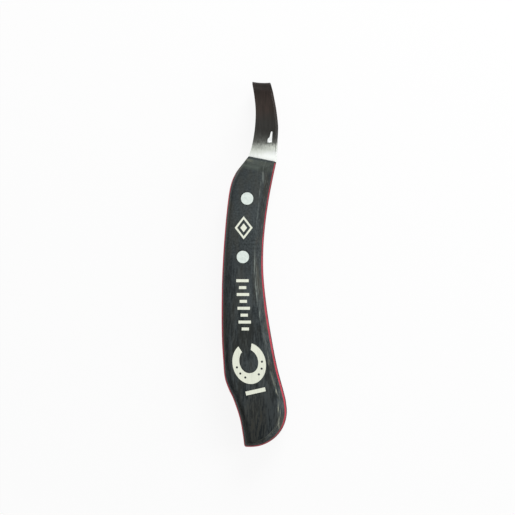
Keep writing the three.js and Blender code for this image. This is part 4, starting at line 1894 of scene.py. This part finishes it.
@dataclass
class Loop:
    """The steel strip, from its shoulders round the tip, with its ground edges and its tang."""

    plan: Plan
    rivets: Sequence[Rivet]
    tang: Tang
    thickness: float = 1.5
    reach: float = 42.3
    tip_slant: float = -0.05
    tip_dish: float = 0.35
    dish_length: float = 8.0
    dish_level: float = 0.6
    depth: float = 11.7
    flat_run: float = 3.0
    shoulder_gap: float = 0.3
    splay: float = math.radians(25)
    parting_radius: float = 8.0
    closing_radius: float = 24.0
    samples: tuple[int, ...] = (8, 12, 8, 24, 36, 48)
    across: int = 12
    bevel_width: float = 1.8
    edge_thickness: float = 0.5
    bevel_start: float = 14.0
    bevel_run_in: float = 4.0
    rim: float = 0.08
    left_stations: Points = (
        (-0.05, -8.9), (0.05, -7.4), (0.15, -5.9), (0.3, -4.25), (0.45, -3.3), (0.65, -3.08), (0.87, -4.12),
        (1.0, -5.5),
    )
    right_stations: Points = (
        (-0.05, 7.8), (0.15, 7.86), (0.25, 7.86), (0.34, 8.02), (0.45, 8.05), (0.65, 7.1), (0.87, 5.35),
        (0.93, 4.7), (1.0, 4.15),
    )
    facet_outline: Points = (
        (5.7, 9.4), (5.85, 11.3), (6.05, 13.5), (6.15, 14.7), (6.0, 15.3), (5.5, 15.3), (5.2, 14.6),
        (4.85, 13.2), (4.4, 12.1), (3.65, 11.4), (3.35, 10.7), (3.35, 9.4),
    )
    facet_depth: float = 0.45
    facet_least_depth: float = 0.02
    facet_run_in: Pair = (2.2, 5.8)
    facet_slant_share: float = 0.8
    sharp_angle: float = 14.0
    facet_sharp_angle: float = 60.0
    facet_cutter_top: float = 9.0
    rivet_cutter_top: float = 3.0

    def __post_init__(self) -> None:
        """Draws the strip's edges in plan."""
        self.left = EdgeCurve(self.left_stations, self.reach)
        self.right = EdgeCurve(self.right_stations, self.reach)

    @property
    def leg_height(self) -> float:
        """The height of a parallel leg's middle above the middle plane."""
        return (self.depth - self.thickness) / 2

    @property
    def tang_height(self) -> float:
        """The height of a tang leg's middle above the middle plane."""
        return (self.tang.gap + self.thickness) / 2

    def _poses(self) -> list[Pose]:
        """The places of the strip's sections, from one shoulder round the tip to the other.

        Returns:
            The places.
        """
        bends = self.parting_radius + self.closing_radius
        rise = bends * (1 - math.cos(self.splay))
        slope = (self.leg_height - self.tang_height - rise) / math.sin(self.splay)
        run = self.flat_run + bends * math.sin(self.splay) + slope * math.cos(self.splay)
        out = [
            (self.flat_run - self.shoulder_gap, 0.0),
            (self.parting_radius * self.splay, self.splay),
            (slope, 0.0),
            (self.closing_radius * self.splay, -self.splay),
            (self.reach - self.thickness / 2 - self.leg_height - run, 0.0),
        ]
        turns = [*out, (self.leg_height * math.pi, -math.pi), *reversed(out)]
        poses = [Pose(self.shoulder_gap, self.tang_height, 0.0)]
        for (length, turn), steps in zip(turns, [*self.samples, *self.samples[-2::-1]]):
            start = poses[-1]
            for distance in spread(0, length, steps)[1:]:
                heading = start.heading + turn * distance / length
                if turn == 0:
                    y = start.y + distance * math.cos(heading)
                    z = start.z + distance * math.sin(heading)
                else:
                    radius = length / turn
                    y = start.y + radius * (math.sin(heading) - math.sin(start.heading))
                    z = start.z - radius * (math.cos(heading) - math.cos(start.heading))
                poses.append(Pose(y, z, heading))
        return poses

    def _section(self, pose: Pose) -> list[Vector]:
        """The strip's section at a place.

        Args:
            pose: The place.

        Returns:
            The points of its inner face between the bevels, and then those of its outer face back.
        """
        slant = self.plan.front_slant
        slant += (self.tip_slant - slant) * min(max(pose.y / self.reach, 0.0), 1.0)
        left = crossing(self.left.x_at, pose.y, slant)[0]
        right = crossing(self.right.x_at, pose.y, slant)[0]
        ground = smooth(pose.y, self.bevel_start, self.bevel_start + self.bevel_run_in)
        half = self.thickness / 2
        edge = half - ground * (self.thickness - self.edge_thickness)
        middle, width = (left + right) / 2, right - left
        dish = self.tip_dish * smooth(pose.y, self.reach - self.dish_length, self.reach)

        def at(x: float, out: float) -> Vector:
            """A point of the section.

            Args:
                x: How far across it lies.
                out: How far it lies outside the strip's middle line.

            Returns:
                The point.
            """
            dished = dish * ((2 * (x - middle) / width) ** 2 - self.dish_level)
            y = pose.y + slant * x + dished - out * math.sin(pose.heading)
            return Vector((x, y, pose.z + out * math.cos(pose.heading)))

        rim = self.rim
        inner = spread(left + self.bevel_width, right - self.bevel_width, self.across)
        outer = spread(right - 4 * rim, left + 4 * rim, self.across)
        return [
            *[at(x, -half) for x in inner],
            at(right, -edge),
            at(right, half - rim),
            at(right - rim, half),
            *[at(x, half) for x in outer],
            at(left + rim, half),
            at(left, half - rim),
            at(left, -edge),
        ]

    def _strip(self) -> Object:
        """Builds the bent strip without its tang.

        Returns:
            The strip.
        """
        maker = MeshMaker("cutting_loop", self.plan.offset)
        rings = [maker.add_points(self._section(pose)) for pose in self._poses()]
        maker.skin(rings)
        maker.add_face(rings[0][::-1])
        maker.add_face(rings[-1])
        return maker.build([Finish.STRIP_STEEL, Finish.GROUND_STEEL], self.sharp_angle)

    def _plate(self, name: str, ring: Ring, low_height: float, high_height: float) -> Object:
        """Builds a steel plate with upright walls.

        Args:
            name: Its name.
            ring: Its outline in plan.
            low_height: Its lower height above the middle plane.
            high_height: Its upper height.

        Returns:
            The plate.
        """
        maker = MeshMaker(name, self.plan.offset)
        low, high = maker.add_ring(ring, low_height), maker.add_ring(ring, high_height)
        maker.bridge(low, high)
        maker.add_face(low[::-1])
        maker.add_face(high)
        return maker.build([Finish.STRIP_STEEL])

    def _facet_cutter(self, side: Side) -> Object:
        """Builds the cutter of the ground facet at the root of the right edge, on one leg.

        Args:
            side: The leg's side of the middle plane.

        Returns:
            The cutter.
        """
        floor = []
        for x, y in self.facet_outline:
            surface = self._surface_height(y - self.plan.front_slant * x * self.facet_slant_share)
            depth = self.facet_depth * smooth(x, *self.facet_run_in) + self.facet_least_depth
            floor.append(Vector((x, y, side.value * (surface - depth))))
        maker = MeshMaker("facet_cutter", self.plan.offset)
        low = maker.add_points(floor)
        high = maker.add_ring(self.facet_outline, side.value * self.facet_cutter_top)
        maker.bridge(low, high)
        maker.fan(low, sum(floor, Vector()) / len(floor))
        maker.add_face(high)
        return maker.build([Finish.GROUND_STEEL], self.facet_sharp_angle)

    def _surface_height(self, y: float) -> float:
        """The height of the upper leg's outer face above the middle plane.

        Args:
            y: The distance at which it is read.

        Returns:
            The height.
        """
        upper = [pose for pose in self._poses() if pose.z > 0 and pose.heading >= -TINY]
        near = min(upper, key=lambda pose: abs(pose.y - y))
        return near.z + self.thickness / 2 * math.cos(near.heading)

    def build(self) -> Object:
        """Builds the strip with its tang, its rivet holes and its ground facets.

        Returns:
            The strip.
        """
        strip = self._strip()
        change(strip, [self._facet_cutter(side) for side in Side], Change.CUT)
        right, left = self.tang.sides(0.0, self.tang.lap)
        tang, half = [*right, *left], self.thickness / 2
        middles = (-self.tang_height, self.tang_height)
        legs = [self._plate("tang_leg", tang, middle - half, middle + half) for middle in middles]
        change(strip, legs, Change.JOIN)
        rings, top = [circle(rivet.centre, rivet.hole_radius) for rivet in self.rivets], self.rivet_cutter_top
        change(strip, [self._plate("rivet_cutter", ring, -top, top) for ring in rings], Change.CUT)
        finish_shading(strip, self.sharp_angle)
        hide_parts("loop_blade")
        return strip


# ------------------------------------------------------------------ stage


@dataclass(frozen=True)
class Lamp:
    """A square soft lamp: where it hangs and its side in metres, and its power in watts."""

    name: str
    place: Point3
    power: float
    size: float = 0.6

    def build(self, target: Vector) -> None:
        """Hangs the lamp.

        Args:
            target: The place that it looks at.
        """
        light = bpy.data.lights.new(self.name, "AREA")
        light.size = self.size
        light.energy = self.power
        lamp = add_object(self.name, light)
        lamp.location = self.place
        lamp.rotation_euler = (target - Vector(self.place)).to_track_quat("-Z", "Y").to_euler()


@dataclass
class Stage:
    """The pale floor, the soft light and the camera, in metres."""

    roll_to_side: float = math.radians(6.5)
    frame_width: float = 0.2817
    lens: float = 200.0
    sensor: float = 36.0
    clip_end: float = 50.0
    target: Point3 = (0.00183, 0.0038, 0.009)
    floor_size: float = 6.0
    floor_grey: float = 0.86
    floor_roughness: float = 0.9
    floor_glow: float = 0.9
    world_light: float = 0.36
    lamps: tuple[Lamp, ...] = (
        Lamp("front_lamp", (0.35, 0.95, 0.6), power=11.5),
        Lamp("right_lamp", (1.05, 0.15, 0.5), power=6.5),
    )

    def _background_share(self, tree: Tree) -> Socket:
        """A socket that is 1 for the rays that see the background.

        Args:
            tree: The tree that it is in.

        Returns:
            The share's socket.
        """
        path = tree.new("LightPath")
        return tree.largest(*[path.outputs[f"Is {ray} Ray"] for ray in ("Camera", "Glossy", "Transmission")])

    def _floor(self) -> None:
        """A white floor that shows as white and keeps a soft shadow."""
        half = self.floor_size / 2
        mesh = bpy.data.meshes.new("floor")
        corners = [(x * half, y * half, 0.0) for x, y in ((-1, -1), (1, -1), (1, 1), (-1, 1))]
        mesh.from_pydata(corners, [], [(0, 1, 2, 3)])
        nodes = Nodes("white_floor")
        nodes.shader.inputs["Base Color"].default_value = (self.floor_grey,) * 3 + (1.0,)
        nodes.shader.inputs["Roughness"].default_value = self.floor_roughness
        nodes.shader.inputs["Specular IOR Level"].default_value = 0.0
        glow = nodes.new("Emission")
        glow.inputs["Strength"].default_value = 1.0
        mix = nodes.new("MixShader")
        nodes.link(nodes.times(self._background_share(nodes), self.floor_glow), mix.inputs[0])
        nodes.link(nodes.shader.outputs[0], mix.inputs[1])
        nodes.link(glow.outputs[0], mix.inputs[2])
        nodes.link(mix.outputs[0], nodes.tree.nodes["Material Output"].inputs["Surface"])
        mesh.materials.append(nodes.material)
        add_object("floor", mesh)

    def _world(self) -> None:
        """A white surround, softer for what it adds to the light."""
        world = bpy.data.worlds.new("studio")
        bpy.context.scene.world = world
        world.use_nodes = True
        tree = Tree(world.node_tree)
        background = world.node_tree.nodes["Background"]
        background.inputs["Color"].default_value = (1.0, 1.0, 1.0, 1.0)
        strength = tree.scaled(self._background_share(tree), 1 - self.world_light, self.world_light)
        tree.link(strength, background.inputs["Strength"])

    def _camera(self) -> None:
        """A long lens square above the knife, rolled a little to its right side."""
        data = bpy.data.cameras.new("camera")
        data.lens = self.lens
        data.sensor_width = self.sensor
        data.clip_end = self.clip_end
        camera = add_object("camera", data)
        back = Vector((math.sin(self.roll_to_side), 0.0, math.cos(self.roll_to_side)))
        up = Vector((0.0, 1.0, 0.0))
        right = up.cross(back)
        place = Vector(self.target) + back * (self.frame_width * self.lens / self.sensor)
        camera.matrix_world = Matrix.Translation(place) @ Matrix((right, up, back)).transposed().to_4x4()
        bpy.context.scene.camera = camera

    def build(self) -> None:
        """Sets up the whole stage."""
        self._floor()
        self._world()
        for lamp in self.lamps:
            lamp.build(Vector(self.target))
        self._camera()
        bpy.context.scene.view_settings.view_transform = "Standard"


def main() -> None:
    """Builds the knife and its stage."""
    logging.basicConfig(level=logging.INFO, format="%(message)s")
    Stage().build()
    plan = Plan(Wall())
    rivets = [
        Rivet("front_rivet", plan, setback=21.3, shift=0.25),
        Rivet("rear_rivet", plan, setback=53.1, shift=0.9),
    ]
    tang = Tang(plan, rivets[-1].setback)
    pieces = Handle(plan, rivets, tang).build()
    pieces.append(Loop(plan, rivets, tang).build())
    for rivet in rivets:
        pieces.extend(rivet.build())
    for piece in pieces:
        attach(piece, BODY)
        log.info("%s: %d faces", piece.name, len(piece.data.polygons))


if __name__ == "__main__":
    main()
